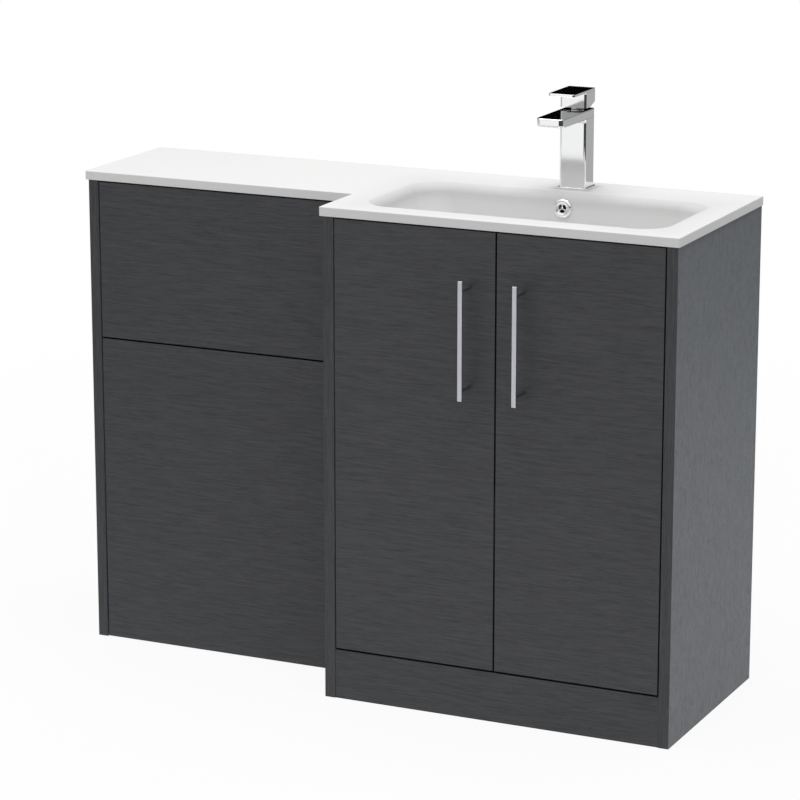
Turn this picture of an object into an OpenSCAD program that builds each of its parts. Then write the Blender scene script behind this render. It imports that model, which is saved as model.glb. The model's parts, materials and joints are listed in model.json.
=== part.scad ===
// Bathroom combination unit: a shallow back-to-wall toilet furniture unit on the left,
// a deeper two-door vanity on the right, and a one-piece L-shaped worktop with a moulded
// basin, a square mono mixer, an overflow cover, a waste and a bottle trap.
// +X runs to the right, +Y to the wall, +Z up. The origin is under the middle of the box.

/* [Units] */
// Width of the toilet unit
wc_w = 500; // [450:10:600]
// Depth of the toilet unit to its front face
wc_d = 259; // [240:1:300]
// Width of the vanity unit
van_w = 600; // [580:10:700]
// Depth of the vanity unit to its front face
van_d = 383; // [375:1:430]
// Height of the cabinets under the worktop
carcass_h = 802; // [780:1:860]
// Thickness of every board
board_t = 18; // [16:1:19]
// Gap round doors and loose fronts
reveal = 2.5; // [2.4:0.1:3.5]
// Gap between the two doors
door_gap = 3; // [2:0.5:4]
// Height of the toilet unit's fixed lower front
wc_lower_h = 530.5; // [450:0.5:600]
// Gap of a front above the floor
floor_gap = 1.5; // [1:0.5:4]
// Height of the plinth under the doors
plinth_h = 83; // [70:1:100]
// Setback of the plinth from the side panels' front edges
plinth_recess = 1; // [0:0.5:4]
// Height of the cross rails
rail_h = 80; // [60:1:90]
// Seat gap behind fronts and under loose pieces
seat_gap = 0.3; // [0.2:0.05:0.5]
// Height of the shelf's underside
shelf_z = 372; // [340:32:404]
// Setback of the shelf from the cabinet front
shelf_setback = 45; // [40:1:80]
// Depth of the open service space behind the shelf and the base
service_d = 60; // [30:1:90]

/* [Worktop] */
// Thickness of the worktop
top_t = 15; // [12:0.5:18]
// Overhang at the left end
over_left = 6; // [0:0.5:10]
// Overhang at the right end
over_right = 2; // [0:0.5:10]
// Overhang at the fronts
over_front = 1.5; // [0:0.5:6]
// Overhang past the vanity's left side in the inner corner
over_inner = 6.5; // [0:0.5:10]
// Corner radius of the worktop in plan
top_corner_r = 3; // [1:0.5:6]
// Distance from the vanity's side panels to the bowl's rim
bowl_side = 22; // [18:1:60]
// Distance from the vanity's front to the bowl's rim
bowl_lip = 41; // [40:1:60]
// Flat ledge between the wall and the bowl's rim
bowl_ledge = 96; // [92:1:110]
// Bowl depth at the waste
bowl_h = 110; // [95:1:120]
// Corner radius of the bowl's rim
bowl_corner_r = 52; // [40:1:70]
// Radius of the soft rim at the back and the sides
rim_r = 16; // [8:1:20]
// Radius of the crisp rim at the front
rim_front_r = 2; // [1:0.5:4]
// Inward slope of the side walls over the wall's height
slope_side = 24; // [10:1:40]
// Inward slope of the front wall
slope_front = 16; // [8:1:30]
// Inward slope of the back wall
slope_back = 6; // [4:1:20]
// Radius between walls and floor
floor_r = 24; // [12:1:30]
// Fall of the floor towards the waste
floor_fall = 5; // [3:0.5:8]
// Wall thickness of the bowl under the worktop
bowl_wall = 7; // [5:0.5:9]
// Distance of the waste from the wall
waste_y = 215; // [200:1:235]
// Depth of the overflow's centre under the worktop's face
overflow_drop = 25; // [22:1:32]
// Diameter of the overflow cover
overflow_dia = 32; // [28:1:36]

/* [Mixer] */
// Distance of the mixer's axis from the wall
tap_y = 55.5; // [52:0.5:60]
// Width of the mixer's body, spout and lever
tap_w = 46; // [42:1:50]
// Depth of the mixer's body
tap_d = 39; // [37:0.5:42]
// Height of the mixer's body over the base flange
tap_body_h = 127; // [100:0.5:160]
// Reach of the spout from the mixer's axis
tap_reach = 120; // [100:1:160]
// Thickness of the spout
spout_t = 14; // [12:0.5:16]
// Thickness of the base flange
flange_t = 3; // [2:0.5:5]
// Height of the lever block
block_h = 29; // [26:0.5:34]
// Gap between the body and the lever block
block_gap = 4; // [3.5:0.5:6]
// Reach of the lever plate from the mixer's axis
lever_reach = 70; // [60:1:90]
// Thickness of the lever plate
lever_t = 4; // [3:0.5:6]
// Radius of the mixer's upright edges
tap_edge_r = 4; // [2:0.5:5]
// Diameter of the mixer's cartridge
cartridge_dia = 32; // [25:1:34]

/* [Handles] */
// Length of a bar handle
handle_l = 192; // [128:32:256]
// Width of the bar
handle_w = 8; // [6:1:12]
// Thickness of the bar
handle_t = 4; // [3:1:8]
// Distance from the door to the bar's front face
handle_out = 35; // [28:1:40]
// Distance between the two posts
handle_cc = 160; // [96:32:224]
// Distance of the bar's middle from the gap's middle
handle_x = 46; // [30:1:60]
// Distance from the door's top to the bar's middle
handle_drop = 170; // [130:1:320]
// Radius of a handle post
post_r = 3; // [2.5:0.5:5]

/* [Hinges] */
// Distance of each hinge from the door's end
hinge_end = 120; // [115:1:160]
// Drilled diameter of the cup
cup_dia = 35; // [35:1:35]
// Distance from the door's edge to the cup's middle
cup_edge = 24; // [23:0.5:24.5]
// Drilled depth of the cup
cup_depth = 12.5; // [12.5:0.1:12.8]
// Distance of the hinge pin behind the door's front face
pin_v = 10; // [9.8:0.1:10]
// Distance of the hinge pin beyond the cup's middle
pin_off = 2; // [2:0.1:3]
// Radius of the hinge pin
pin_r = 2; // [1.8:0.1:2.1]
// Radial running clearance of every pin
run_gap = 0.05; // [0.02:0.01:0.1]
// Thickness of the cranked arm
arm_t = 5; // [4:0.5:5]
// Height of the cranked arm
arm_h = 12; // [10:1:14]

/* [Plumbing] */
// Radius of the trap's outlet pipe
pipe_r = 16; // [16:0.5:20]
// Drop from the waste's lower end to the outlet pipe's middle
pipe_drop = 59; // [50:1:80]
// Travel of the waste plug
plug_travel = 8; // [6:1:10]

/* [Hidden] */
$fn = 64;
// How far a cutter runs past the face it opens
cut = 1;

// Overall places, first measured from the toilet unit's left side and the wall
total_w = wc_w + van_w;
top_z = carcass_h + top_t;
front_out = van_d + handle_out;
mid_x = (total_w + over_right - over_left) / 2;
mid_y = front_out / 2;
van_l = wc_w + board_t;
van_r = total_w - board_t;
van_mid = (van_l + van_r) / 2;
inner_w = van_r - van_l;

// Doors
door_w = (inner_w - 2 * reveal - door_gap) / 2;
door_lift = 3.5;
door_z = plinth_h + door_lift;
door_h = carcass_h - reveal - door_z;
handle_z = door_z + door_h - handle_drop;
hinge_zs = [door_z + hinge_end, door_z + door_h - hinge_end];

// Hinge geometry in plan: u from the side panel's face, v behind the front plane
cup_u = reveal + cup_edge;
pin_u = cup_u + pin_off;
pin_l = cup_dia - 1.4;
cup_r = cup_dia / 2;
cup_wall = 1;
cup_floor = 0.8;
cup_flange = 3;
cup_flange_t = 1;
cup_screw_dz = 22.5;
cup_wing = [-6, 8];

// The door's hinge edge swings inside this radius; the arm passes over it
swing_r = norm([pin_u - reveal, max(pin_v, board_t - pin_v)]);
swing_gap = 1.5;
plate_t = 3;
arm_u = plate_t + arm_t / 2;
arm_over_v = pin_v + swing_r + swing_gap + arm_t / 2;
arm_angle = 44;
arm_first = 28;
arm_peak_u = 15.5;
arm_step = [6, 7];
arm_tail = 42;
arm_bend_r = 3.5;
bend_steps = 4;
eye_r = pin_r + 1.4;
arm_path = [
    [pin_u, pin_v],
    [pin_u + arm_first * cos(arm_angle), pin_v + arm_first * sin(arm_angle)],
    [pin_u + arm_peak_u, arm_over_v],
    [arm_u + arm_step[0], arm_over_v],
    [arm_u, arm_over_v + arm_step[1]],
    [arm_u, arm_over_v + arm_tail]
];
plate_v0 = arm_over_v + arm_step[1] + 1;
plate_l = 40;
plate_wing_r = 8;
plate_screw_v = plate_v0 + 10;
plate_screw_dz = 16;
clamp_screw_v = plate_v0 + plate_l - 14;
clamp_screw_r = 4.5;
clamp_screw_t = 2;
wood_screw_r = 4;
wood_screw_t = 1.2;

// Worktop and bowl
bowl_x = van_mid;
bowl_w = inner_w - 2 * bowl_side;
bowl_back = -bowl_ledge;
bowl_front = -van_d + bowl_lip;
wall_h = bowl_h - floor_r - floor_fall;
wall_corner_r = bowl_corner_r - 4;
front_start = 0.08;
waste_hole_r = 23;
seat_r = 33;
seat_recess = 1.5;
seat_flat = 7;
overflow_r = 11;

// The back wall's upper run carries the overflow, square to the wall
wall_steps = 3;
wall_bow = 1.3;
overflow_z = top_z - overflow_drop;
overflow_slope = slope_back * pow(1 / wall_steps, wall_bow) * wall_steps / (wall_h - rim_r);
overflow_tilt = atan(overflow_slope);
overflow_wall_y = bowl_back - rim_r - (overflow_drop - rim_r) * overflow_slope;
duct_w = 36;
duct_d = 9;
duct_wall = 4;
floor_t = 8;
floor_under = top_z - bowl_h - floor_t;

// Mixer, from its flange up
flange_lip = 2.5;
flange_w = tap_w + 2 * flange_lip;
flange_d = tap_d + 2 * flange_lip;
flange_corner_r = 5;
flange_bore_r = 13;
body_z = top_z + flange_t;
body_top = body_z + tap_body_h;
block_z = body_top + block_gap;
block_top = block_z + block_h;
pivot_z = block_z + 7.5;
tap_hole_r = 17.5;
cartridge_r = cartridge_dia / 2;
cartridge_l = 34;
cap_t = 8;
collar_r = 11;
spindle_r = 7;
spindle_seat = 14;
spindle_end = 0.3;
tongue_t = 8;
tongue_r = 5;
block_bore_r = 15;
block_bore_h = 19;
pivot_r = 2;
pivot_in = 2;
chamfer_l = 20;
chamfer_h = 7;
edge_cut = 1;
lever_edge_r = 1;
neck_fillet = 3;
spout_nose_r = 4.5;
spout_top_r = 2;
spout_fillet_r = 7;
spout_z = body_top - spout_t;
aerator_w = 26;
aerator_d = 12;
aerator_t = 5;
aerator_y = -tap_reach + 16;
aerator_pitch = [5, 3.6];
aerator_slot = [3, 2];
inlet_r = 4.5;
inlet_x = 7;
inlet_l = 39;
stud_r = 3;
stud_y = -9;
stud_in = 18;
stud_out = 42;
stud_nut_r = 6;
stud_nut_t = 7;
clamp_t = 6;
clamp_slot = 12;

// Waste and trap
seat_z = top_z - bowl_h - seat_recess;
plug_r = 29;
plug_gap = 2.6;
plug_rise = 4.4;
stem_r = 4;
guide_drop = 22;
guide_h = 10;
guide_wall = 2.5;
bridge_t = 3;
bridge_h = 8;
stem_l = guide_drop + plug_travel + 6;
tail_r = 20.5;
tail_wall = 2;
tail_l = 70;
tail_slot = [8, 7];
seal_t = 4;
seal_gap = 0.2;
waste_nut_r = 30;
waste_nut_t = 9;
tail_end = top_z - bowl_h - tail_l;
trap_r = 31;
trap_wall = 2.5;
trap_gap = 0.3;
pipe_wall = 2;
pipe_ease = 0.3;
pipe_ease_show = 1;
boss_r = pipe_r + 5;
boss_l = trap_r + 24;
pipe_z = tail_end - pipe_drop;
trap_split_z = pipe_z - pipe_r - 8;
trap_cup_z = trap_split_z - 50;
trap_shoulder = 2 * pipe_r + 14;
neck_r = tail_r + 4.5;
neck_top = tail_end + 14;
dip_r = 15;
dip_wall = 2;
dip_l = 22;
nut_skirt = 14;
nut_lip = 6;
nut_wall = 4;
nut_thread_gap = 0.2;
cup_bead = 3;
cup_bead_h = 7;

// Fittings
clip_r = 4;
clip_gap = 0.25;
clip_body_r = 8;
clip_groove = 0.8;
clip_neck = 5;
clip_head = 8.5;
clip_end = 12;
clip_len = 13;
clip_disc_t = 3;
clip_seat = clip_len + 2;
clip_x = 62;
clip_low = 24;
clip_drop = 40;
clip_zs = [wc_lower_h + clip_low, carcass_h - clip_drop];
rail_lift = 20;
shelf_pin_r = 2.5;
pin_pitch = 32;
pin_count = 5;
pin_in = 10;
pin_out = 9;
shelf_pin_front = 90;
shelf_pin_back = 100;
shelf_pin_ys = [-(van_d - shelf_pin_front), -shelf_pin_back];
bolt_r = 2.5;
bolt_head_r = 6;
bolt_head_t = 1.5;
bolt_in = 60;
bolt_low = 120;
bolt_drop = 110;
bolt_ys = [-bolt_in, -(wc_d - bolt_in)];
bolt_zs = [bolt_low, carcass_h - bolt_drop];
bracket_leg = 30;
bracket_w = 24;
bracket_t = 2;
bracket_hole_r = 3;
bracket_drop = 45;
bracket_z = carcass_h - rail_h - bracket_drop;
bracket_hole_at = 0.6;
top_bracket_leg = 16;
top_bracket_in = 75;
wc_bracket_front = 109;
van_bracket_front = 148;
shelf_gap = 1;
stop_w = 28;
stop_x = 22;
stop_pad = [5, 16];
stop_foot = [22, 9];
screw_r = 2;
screw_gap = 0.2;
screw_in = 12;
screw_head_r = 4.2;
screw_head_t = 2.2;

function side_x(left) = left ? van_l : van_r;
function toward(left) = left ? 1 : -1;

// Everything is drawn from the toilet unit's left side and the wall, then moved to the origin
module placed() {
    translate([-mid_x, mid_y, 0]) children();
}

// A board from one corner to the opposite one
module board(from, to) {
    translate(from) cube(to - from);
}

// A cylinder from a point along +X or +Y
module rod_x(at, r, l) {
    translate(at) rotate([0, 90, 0]) cylinder(r = r, h = l);
}
module rod_y(at, r, l) {
    translate(at) rotate([-90, 0, 0]) cylinder(r = r, h = l);
}

// ---- Toilet unit ----

module wc_side(x) {
    difference() {
        board([x, -wc_d, 0], [x + board_t, 0, carcass_h]);
        if (x > 0)
            for (y = bolt_ys, z = bolt_zs)
                rod_x([x - cut, y, z], bolt_r, board_t + 2 * cut);
    }
}

module wc_side_left() {
    color("#46464a") placed() wc_side(0);
}

module wc_side_right() {
    color("#46464a") placed() wc_side(wc_w - board_t);
}

module wc_front(z0, z1) {
    board([board_t + reveal, -wc_d, z0], [wc_w - board_t - reveal, -wc_d + board_t, z1]);
}

module wc_front_lower() {
    color("#424244") placed() wc_front(floor_gap, wc_lower_h);
}

// A cross rail on edge right behind the fronts
module wc_front_rail(z0) {
    y0 = -wc_d + board_t + seat_gap;
    board([board_t, y0, z0], [wc_w - board_t, y0 + board_t, z0 + rail_h]);
}

module clip_holes(r, y0, l) {
    for (x = [board_t + clip_x, wc_w - board_t - clip_x], z = clip_zs)
        rod_y([x, y0, z], r, l);
}

module wc_rail_top_front() {
    color("#56565a") placed() difference() {
        wc_front_rail(carcass_h - rail_h);
        clip_holes(clip_body_r, -wc_d + board_t, seat_gap + clip_seat);
    }
}

module wc_rail_mid() {
    color("#56565a") placed() difference() {
        wc_front_rail(wc_lower_h - rail_h / 2);
        clip_holes(clip_body_r, -wc_d + board_t, seat_gap + clip_seat);
    }
}

module wc_rail_bottom_front() {
    color("#56565a") placed() wc_front_rail(floor_gap + rail_lift);
}

module wc_back_rail(z0) {
    board([board_t, -board_t, z0], [wc_w - board_t, 0, z0 + rail_h]);
}

module wc_rail_back_top() {
    color("#56565a") placed() wc_back_rail(carcass_h - rail_h);
}

module wc_rail_back_low() {
    color("#56565a") placed() wc_back_rail(floor_gap + rail_lift);
}

// Round sockets let into the rails, each open towards the loose front
module clip_sockets() {
    color("#d8d8d4") placed() difference() {
        clip_holes(clip_body_r, -wc_d + board_t + seat_gap, clip_seat);
        clip_holes(clip_r + clip_gap, -wc_d + board_t, clip_len + 1);
    }
}

module wc_access_panel() {
    color("#424244") placed() difference() {
        wc_front(wc_lower_h + door_gap, carcass_h - reveal);
        clip_holes(clip_body_r, -wc_d + board_t - clip_disc_t, clip_disc_t + cut);
    }
}

// Studs on the loose front: a flush disc and a round-nosed shank with a groove
module panel_clips() {
    color("#e2e2de") placed()
        for (x = [board_t + clip_x, wc_w - board_t - clip_x], z = clip_zs)
            translate([x, -wc_d + board_t, z]) rotate([-90, 0, 0]) rotate_extrude()
                polygon([
                    [0, -clip_disc_t], [clip_body_r, -clip_disc_t], [clip_body_r, 0],
                    [clip_r, 0], [clip_r, clip_neck], [clip_r - clip_groove, clip_neck + 1],
                    [clip_r - clip_groove, clip_head - 1], [clip_r, clip_head],
                    [clip_r, clip_end - 2], [clip_r - 2 * clip_groove, clip_end], [0, clip_end]
                ]);
}

// ---- Vanity carcass ----

module vanity_side(x, inner_x, dir) {
    difference() {
        board([x, -van_d, 0], [x + board_t, 0, carcass_h]);
        for (y = shelf_pin_ys, i = [0 : pin_count - 1])
            rod_x([inner_x - dir * pin_in / 2 - pin_in / 2,
                y, shelf_z - shelf_pin_r + (i - floor(pin_count / 2)) * pin_pitch],
                shelf_pin_r, pin_in);
        if (x < van_mid)
            for (y = bolt_ys, z = bolt_zs)
                rod_x([x - cut, y, z], bolt_r, board_t + 2 * cut);
    }
}

module vanity_side_left() {
    color("#46464a") placed() vanity_side(wc_w, van_l, 1);
}

module vanity_side_right() {
    color("#5c5c62") placed() vanity_side(van_r, van_r, -1);
}

module vanity_base() {
    color("#56565a") placed()
        board([van_l, -van_d + plinth_recess + board_t, plinth_h - board_t],
            [van_r, -service_d, plinth_h]);
}

module vanity_back_rail(z0) {
    board([van_l, -board_t, z0], [van_r, 0, z0 + rail_h]);
}

module vanity_rail_back_top() {
    color("#56565a") placed() vanity_back_rail(carcass_h - rail_h);
}

module vanity_rail_back_low() {
    color("#56565a") placed() vanity_back_rail(plinth_h - board_t);
}

module plinth() {
    color("#424244") placed()
        board([van_l, -van_d + plinth_recess, 0],
            [van_r, -van_d + plinth_recess + board_t, plinth_h]);
}

module shelf() {
    color("#56565a") placed()
        board([van_l + shelf_gap, -van_d + shelf_setback, shelf_z],
            [van_r - shelf_gap, -service_d, shelf_z + board_t]);
}

module shelf_pins() {
    color("silver") placed()
        for (y = shelf_pin_ys, left = [true, false])
            rod_x([side_x(left) - (left ? pin_in : pin_out), y, shelf_z - shelf_pin_r],
                shelf_pin_r, pin_in + pin_out);
}

// Two blocks on the base stop the doors flush with the side panels
module door_stops() {
    color("#2c2c2e") placed()
        for (s = [-1, 1])
            translate([van_mid + s * stop_x - stop_w / 2, -van_d + board_t + seat_gap, plinth_h]) {
                cube([stop_w, stop_pad[0], stop_pad[1]]);
                translate([0, stop_pad[0], 0]) cube([stop_w, stop_foot[0], stop_foot[1]]);
            }
}

// Each connector: a threaded sleeve through both side panels and two flat heads
module connector_bolts() {
    color("#b4b4b8") placed()
        for (y = bolt_ys, z = bolt_zs) {
            rod_x([wc_w - board_t, y, z], bolt_r, 2 * board_t);
            rod_x([wc_w - board_t - bolt_head_t, y, z], bolt_head_r, bolt_head_t);
            rod_x([wc_w + board_t, y, z], bolt_head_r, bolt_head_t);
        }
}

// An angle with one leg on a side panel (dir points away from it) and one on the wall plane
module wall_bracket(x, dir) {
    leg = dir * bracket_leg;
    difference() {
        union() {
            board([min(x, x + dir * bracket_t), -bracket_leg, bracket_z],
                [max(x, x + dir * bracket_t), 0, bracket_z + bracket_w]);
            board([min(x, x + leg), -bracket_t, bracket_z],
                [max(x, x + leg), 0, bracket_z + bracket_w]);
        }
        rod_y([x + leg * bracket_hole_at, -bracket_t - cut, bracket_z + bracket_w / 2],
            bracket_hole_r, bracket_t + 2 * cut);
        rod_x([x - bracket_t - cut, -bracket_leg * bracket_hole_at, bracket_z + bracket_w / 2],
            bracket_hole_r, 2 * (bracket_t + cut));
    }
}

module wall_brackets() {
    color("#c0c0c4") placed() {
        wall_bracket(board_t, 1);
        wall_bracket(wc_w - board_t, -1);
        wall_bracket(van_l, 1);
        wall_bracket(van_r, -1);
    }
}

// Small angles hold the worktop down from inside
module top_bracket(x, y, dir) {
    leg = dir * top_bracket_leg;
    board([min(x, x + dir * bracket_t), y, carcass_h - bracket_leg],
        [max(x, x + dir * bracket_t), y + bracket_w, carcass_h]);
    board([min(x, x + leg), y, carcass_h - bracket_t], [max(x, x + leg), y + bracket_w, carcass_h]);
}

module top_brackets() {
    color("#c0c0c4") placed() {
        for (y = [-(wc_d - wc_bracket_front), -top_bracket_in]) {
            top_bracket(board_t, y, 1);
            top_bracket(wc_w - board_t, y, -1);
        }
        for (y = [-(van_d - van_bracket_front), -top_bracket_in]) {
            top_bracket(van_l, y, 1);
            top_bracket(van_r, y, -1);
        }
    }
}

// ---- Hinges ----

// Moves a shape drawn in (u, v, height) to one door side; the right side is mirrored
module at_hinges(left) {
    for (z = hinge_zs)
        translate([side_x(left), -van_d, z]) mirror([left ? 0 : 1, 0, 0]) children();
}

// Bends a path of straight runs: each inner corner becomes an arc of radius r
function unit(v) = v / norm(v);
function bend(a, b, c, r) =
    let (u = unit(a - b), w = unit(c - b), half = acos(u * w) / 2,
        mid = b + unit(u + w) * r / sin(half), from = b + u * r / tan(half) - mid,
        turn = (u[0] * w[1] - u[1] * w[0] > 0 ? -1 : 1) * (180 - 2 * half))
    [for (i = [0 : bend_steps])
        let (t = turn * i / bend_steps)
        mid + [from[0] * cos(t) - from[1] * sin(t), from[0] * sin(t) + from[1] * cos(t)]];
function bent(path, r) = concat(
    [path[0]],
    [for (i = [1 : len(path) - 2]) each bend(path[i - 1], path[i], path[i + 1], r)],
    [path[len(path) - 1]]);

// Outline of a flat band of width w along a path
function band(path, w) =
    let (last = len(path) - 1,
        dirs = [for (i = [0 : last - 1]) unit(path[i + 1] - path[i])],
        side = [for (i = [0 : last])
            let (a = dirs[max(i - 1, 0)], m = unit(a + dirs[min(i, last - 1)]))
            [-m[1], m[0]] * w / 2 / (m * a)])
    concat([for (i = [0 : last]) path[i] + side[i]], [for (i = [last : -1 : 0]) path[i] - side[i]]);

module hinge_arms(left) {
    color("#c8c8cc") placed() at_hinges(left)
        translate([0, 0, -arm_h / 2]) difference() {
            union() {
                linear_extrude(arm_h) polygon(band(bent(arm_path, arm_bend_r), arm_t));
                translate(arm_path[0]) cylinder(r = eye_r, h = arm_h);
            }
            translate([pin_u, pin_v, -cut]) cylinder(r = pin_r + run_gap, h = arm_h + 2 * cut);
        }
}

module hinge_arms_left() {
    hinge_arms(true);
}

module hinge_arms_right() {
    hinge_arms(false);
}

// Mounting plate: a rail under the arm, two wings with screws, and the arm's clamp screw
module hinge_plates(left) {
    color("#b8b8bc") placed() at_hinges(left) {
        board([0, plate_v0, -arm_h / 2 - 1], [plate_t, plate_v0 + plate_l, arm_h / 2 + 1]);
        for (s = [-1, 1]) {
            rod_x([0, plate_screw_v, s * plate_screw_dz], plate_wing_r, plate_t);
            rod_x([plate_t, plate_screw_v, s * plate_screw_dz], wood_screw_r, wood_screw_t);
        }
        board([0, plate_screw_v - plate_wing_r, -plate_screw_dz],
            [plate_t, plate_screw_v + plate_wing_r, plate_screw_dz]);
        rod_x([plate_t + arm_t, clamp_screw_v, 0], clamp_screw_r, clamp_screw_t);
    }
}

module hinge_plates_left() {
    hinge_plates(true);
}

module hinge_plates_right() {
    hinge_plates(false);
}

// The pressed cup: a drum sunk in the door, a flange on its back and two screw heads
module hinge_cups(left) {
    v0 = board_t - cup_depth;
    color("#c8c8cc") placed() at_hinges(left) {
        difference() {
            union() {
                rod_y([cup_u, v0, 0], cup_r, cup_depth);
                rod_y([cup_u, board_t, 0], cup_r + cup_flange, cup_flange_t);
                board([cup_u + cup_wing[0], board_t, -cup_screw_dz - 3.5],
                    [cup_u + cup_wing[1], board_t + cup_flange_t, cup_screw_dz + 3.5]);
            }
            rod_y([cup_u, v0 + cup_floor, 0], cup_r - cup_wall, cup_depth + cup_flange_t);
            translate([pin_u, pin_v, -cup_r]) cylinder(r = pin_r, h = cup_dia);
        }
        for (s = [-1, 1])
            rod_y([cup_u + (cup_wing[0] + cup_wing[1]) / 2, board_t + cup_flange_t,
                s * cup_screw_dz], wood_screw_r, wood_screw_t);
    }
}

module hinge_cups_left() {
    hinge_cups(true);
}

module hinge_cups_right() {
    hinge_cups(false);
}

module hinge_pins(left) {
    color("#d8d8dc") placed() at_hinges(left)
        translate([pin_u, pin_v, -pin_l / 2]) cylinder(r = pin_r, h = pin_l);
}

module hinge_pins_left() {
    hinge_pins(true);
}

module hinge_pins_right() {
    hinge_pins(false);
}

// ---- Doors and handles ----

module door(left) {
    x0 = left ? van_l + reveal : van_r - reveal - door_w;
    hx = van_mid + (left ? -1 : 1) * handle_x;
    difference() {
        board([x0, -van_d, door_z], [x0 + door_w, -van_d + board_t, door_z + door_h]);
        at_hinges(left) rod_y([cup_u, board_t - cup_depth, 0], cup_r, cup_depth + cut);
        for (s = [-1, 1])
            rod_y([hx, -van_d - cut, handle_z + s * handle_cc / 2], screw_r + screw_gap,
                board_t + 2 * cut);
    }
}

module door_left() {
    color("#424244") placed() door(true);
}

module door_right() {
    color("#424244") placed() door(false);
}

// A flat bar on two round posts
module handle(left) {
    hx = van_mid + (left ? -1 : 1) * handle_x;
    y0 = -van_d - handle_out;
    color("#b2b1bb") placed() difference() {
        union() {
            board([hx - handle_w / 2, y0, handle_z - handle_l / 2],
                [hx + handle_w / 2, y0 + handle_t, handle_z + handle_l / 2]);
            for (s = [-1, 1])
                rod_y([hx, y0 + handle_t / 2, handle_z + s * handle_cc / 2], post_r,
                    handle_out - handle_t / 2);
        }
        for (s = [-1, 1])
            rod_y([hx, -van_d - screw_in - 2, handle_z + s * handle_cc / 2], screw_r,
                screw_in + 2 + cut);
    }
}

module handle_left() {
    handle(true);
}

module handle_right() {
    handle(false);
}

// Machine screws from inside the door into the posts
module handle_screws(left) {
    hx = van_mid + (left ? -1 : 1) * handle_x;
    color("#c8c8cc") placed()
        for (s = [-1, 1]) {
            rod_y([hx, -van_d - screw_in, handle_z + s * handle_cc / 2], screw_r,
                board_t + screw_in);
            rod_y([hx, -van_d + board_t, handle_z + s * handle_cc / 2], screw_head_r,
                screw_head_t);
        }
}

module handle_screws_left() {
    handle_screws(true);
}

module handle_screws_right() {
    handle_screws(false);
}

// ---- Worktop with its bowl ----

// Plan outline of the L-shaped top with its visible corners rounded
function arc(cx, cy, r, a0, a1, n) = [for (i = [0 : n])
    [cx + r * cos(a0 + (a1 - a0) * i / n), cy + r * sin(a0 + (a1 - a0) * i / n)]];
x_left = -over_left;
x_right = total_w + over_right;
x_inner = wc_w - over_inner;
y_wc = -wc_d - over_front;
y_van = -van_d - over_front;
top_outline = concat(
    [[x_left, 0]],
    arc(x_left + top_corner_r, y_wc + top_corner_r, top_corner_r, 180, 270, 5),
    [[x_inner, y_wc]],
    arc(x_inner + top_corner_r, y_van + top_corner_r, top_corner_r, 180, 270, 5),
    arc(x_right - top_corner_r, y_van + top_corner_r, top_corner_r, 270, 360, 5),
    [[x_right, 0]]
);

// One ring of the bowl: a rounded rectangle given by its four sides, its corner radius and z
ring_n = 8;
function ring(x0, x1, y0, y1, r, z) = [
    for (c = [[x1, y1, 0], [x0, y1, 90], [x0, y0, 180], [x1, y0, 270]])
        for (i = [0 : ring_n])
            let (a = c[2] + 90 * i / ring_n)
            [c[0] + (c[0] == x1 ? -r : r) + r * cos(a),
             c[1] + (c[1] == y1 ? -r : r) + r * sin(a), z]
];
function bowl_ring(side, back, front, r, depth, grow) = ring(
    bowl_x - bowl_w / 2 + side - grow, bowl_x + bowl_w / 2 - side + grow,
    bowl_front + front - grow, bowl_back - back + grow, r + grow, top_z - depth);

// Walls fall from the rim's radius to the floor's radius in a gentle curve
rim_steps = 4;
foot_steps = 4;
foot_thin = 0.3;
function wall_part(i) = pow(i / wall_steps, wall_bow);
function rim_rings(grow) = [for (i = [0 : rim_steps])
    let (a = 90 * i / rim_steps)
    bowl_ring(rim_r * sin(a), rim_r * sin(a), (rim_front_r + slope_front * front_start) * sin(a),
        bowl_corner_r + (wall_corner_r - bowl_corner_r) * sin(a), rim_r * (1 - cos(a)), grow)];
function wall_rings(grow) = [for (i = [1 : wall_steps])
    let (f = wall_part(i))
    bowl_ring(rim_r + slope_side * f, rim_r + slope_back * f,
        rim_front_r + slope_front * (front_start + (1 - front_start) * f), wall_corner_r,
        rim_r + (wall_h - rim_r) * i / wall_steps, grow)];
function foot_rings(grow) = [for (i = [1 : foot_steps])
    let (a = 90 * i / foot_steps, k = floor_r * (1 - cos(a)))
    bowl_ring(rim_r + slope_side + k, rim_r + slope_back + k, rim_front_r + slope_front + k,
        wall_corner_r, wall_h + (floor_r + grow) * sin(a), grow * (1 - foot_thin * sin(a)))];
function waste_ring(depth, r) = ring(bowl_x - r, bowl_x + r, -waste_y - r, -waste_y + r, 0.8 * r,
    top_z - depth);

// A closed skin through rings with equal numbers of points, top ring first
module loft(rings) {
    n = len(rings[0]);
    m = len(rings);
    polyhedron(
        points = [for (k = rings) for (p = k) p],
        faces = concat(
            [[for (i = [n - 1 : -1 : 0]) i]],
            [for (k = [0 : m - 2]) for (i = [0 : n - 1])
                [k * n + i, k * n + (i + 1) % n, (k + 1) * n + (i + 1) % n]],
            [for (k = [0 : m - 2]) for (i = [0 : n - 1])
                [k * n + i, (k + 1) * n + (i + 1) % n, (k + 1) * n + i]],
            [[for (i = [0 : n - 1]) (m - 1) * n + i]]
        )
    );
}

module bowl_hollow() {
    loft(concat(
        [bowl_ring(0, 0, 0, bowl_corner_r, -cut, 0)],
        rim_rings(0), wall_rings(0), foot_rings(0),
        [waste_ring(bowl_h, seat_r + seat_flat)]
    ));
}

module bowl_shell() {
    loft(concat(
        [bowl_ring(rim_r, rim_r, rim_front_r, wall_corner_r, top_t / 2, bowl_wall)],
        wall_rings(bowl_wall), foot_rings(bowl_wall),
        [waste_ring(bowl_h + floor_t, seat_r + seat_flat + bowl_wall)]
    ));
}

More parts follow.
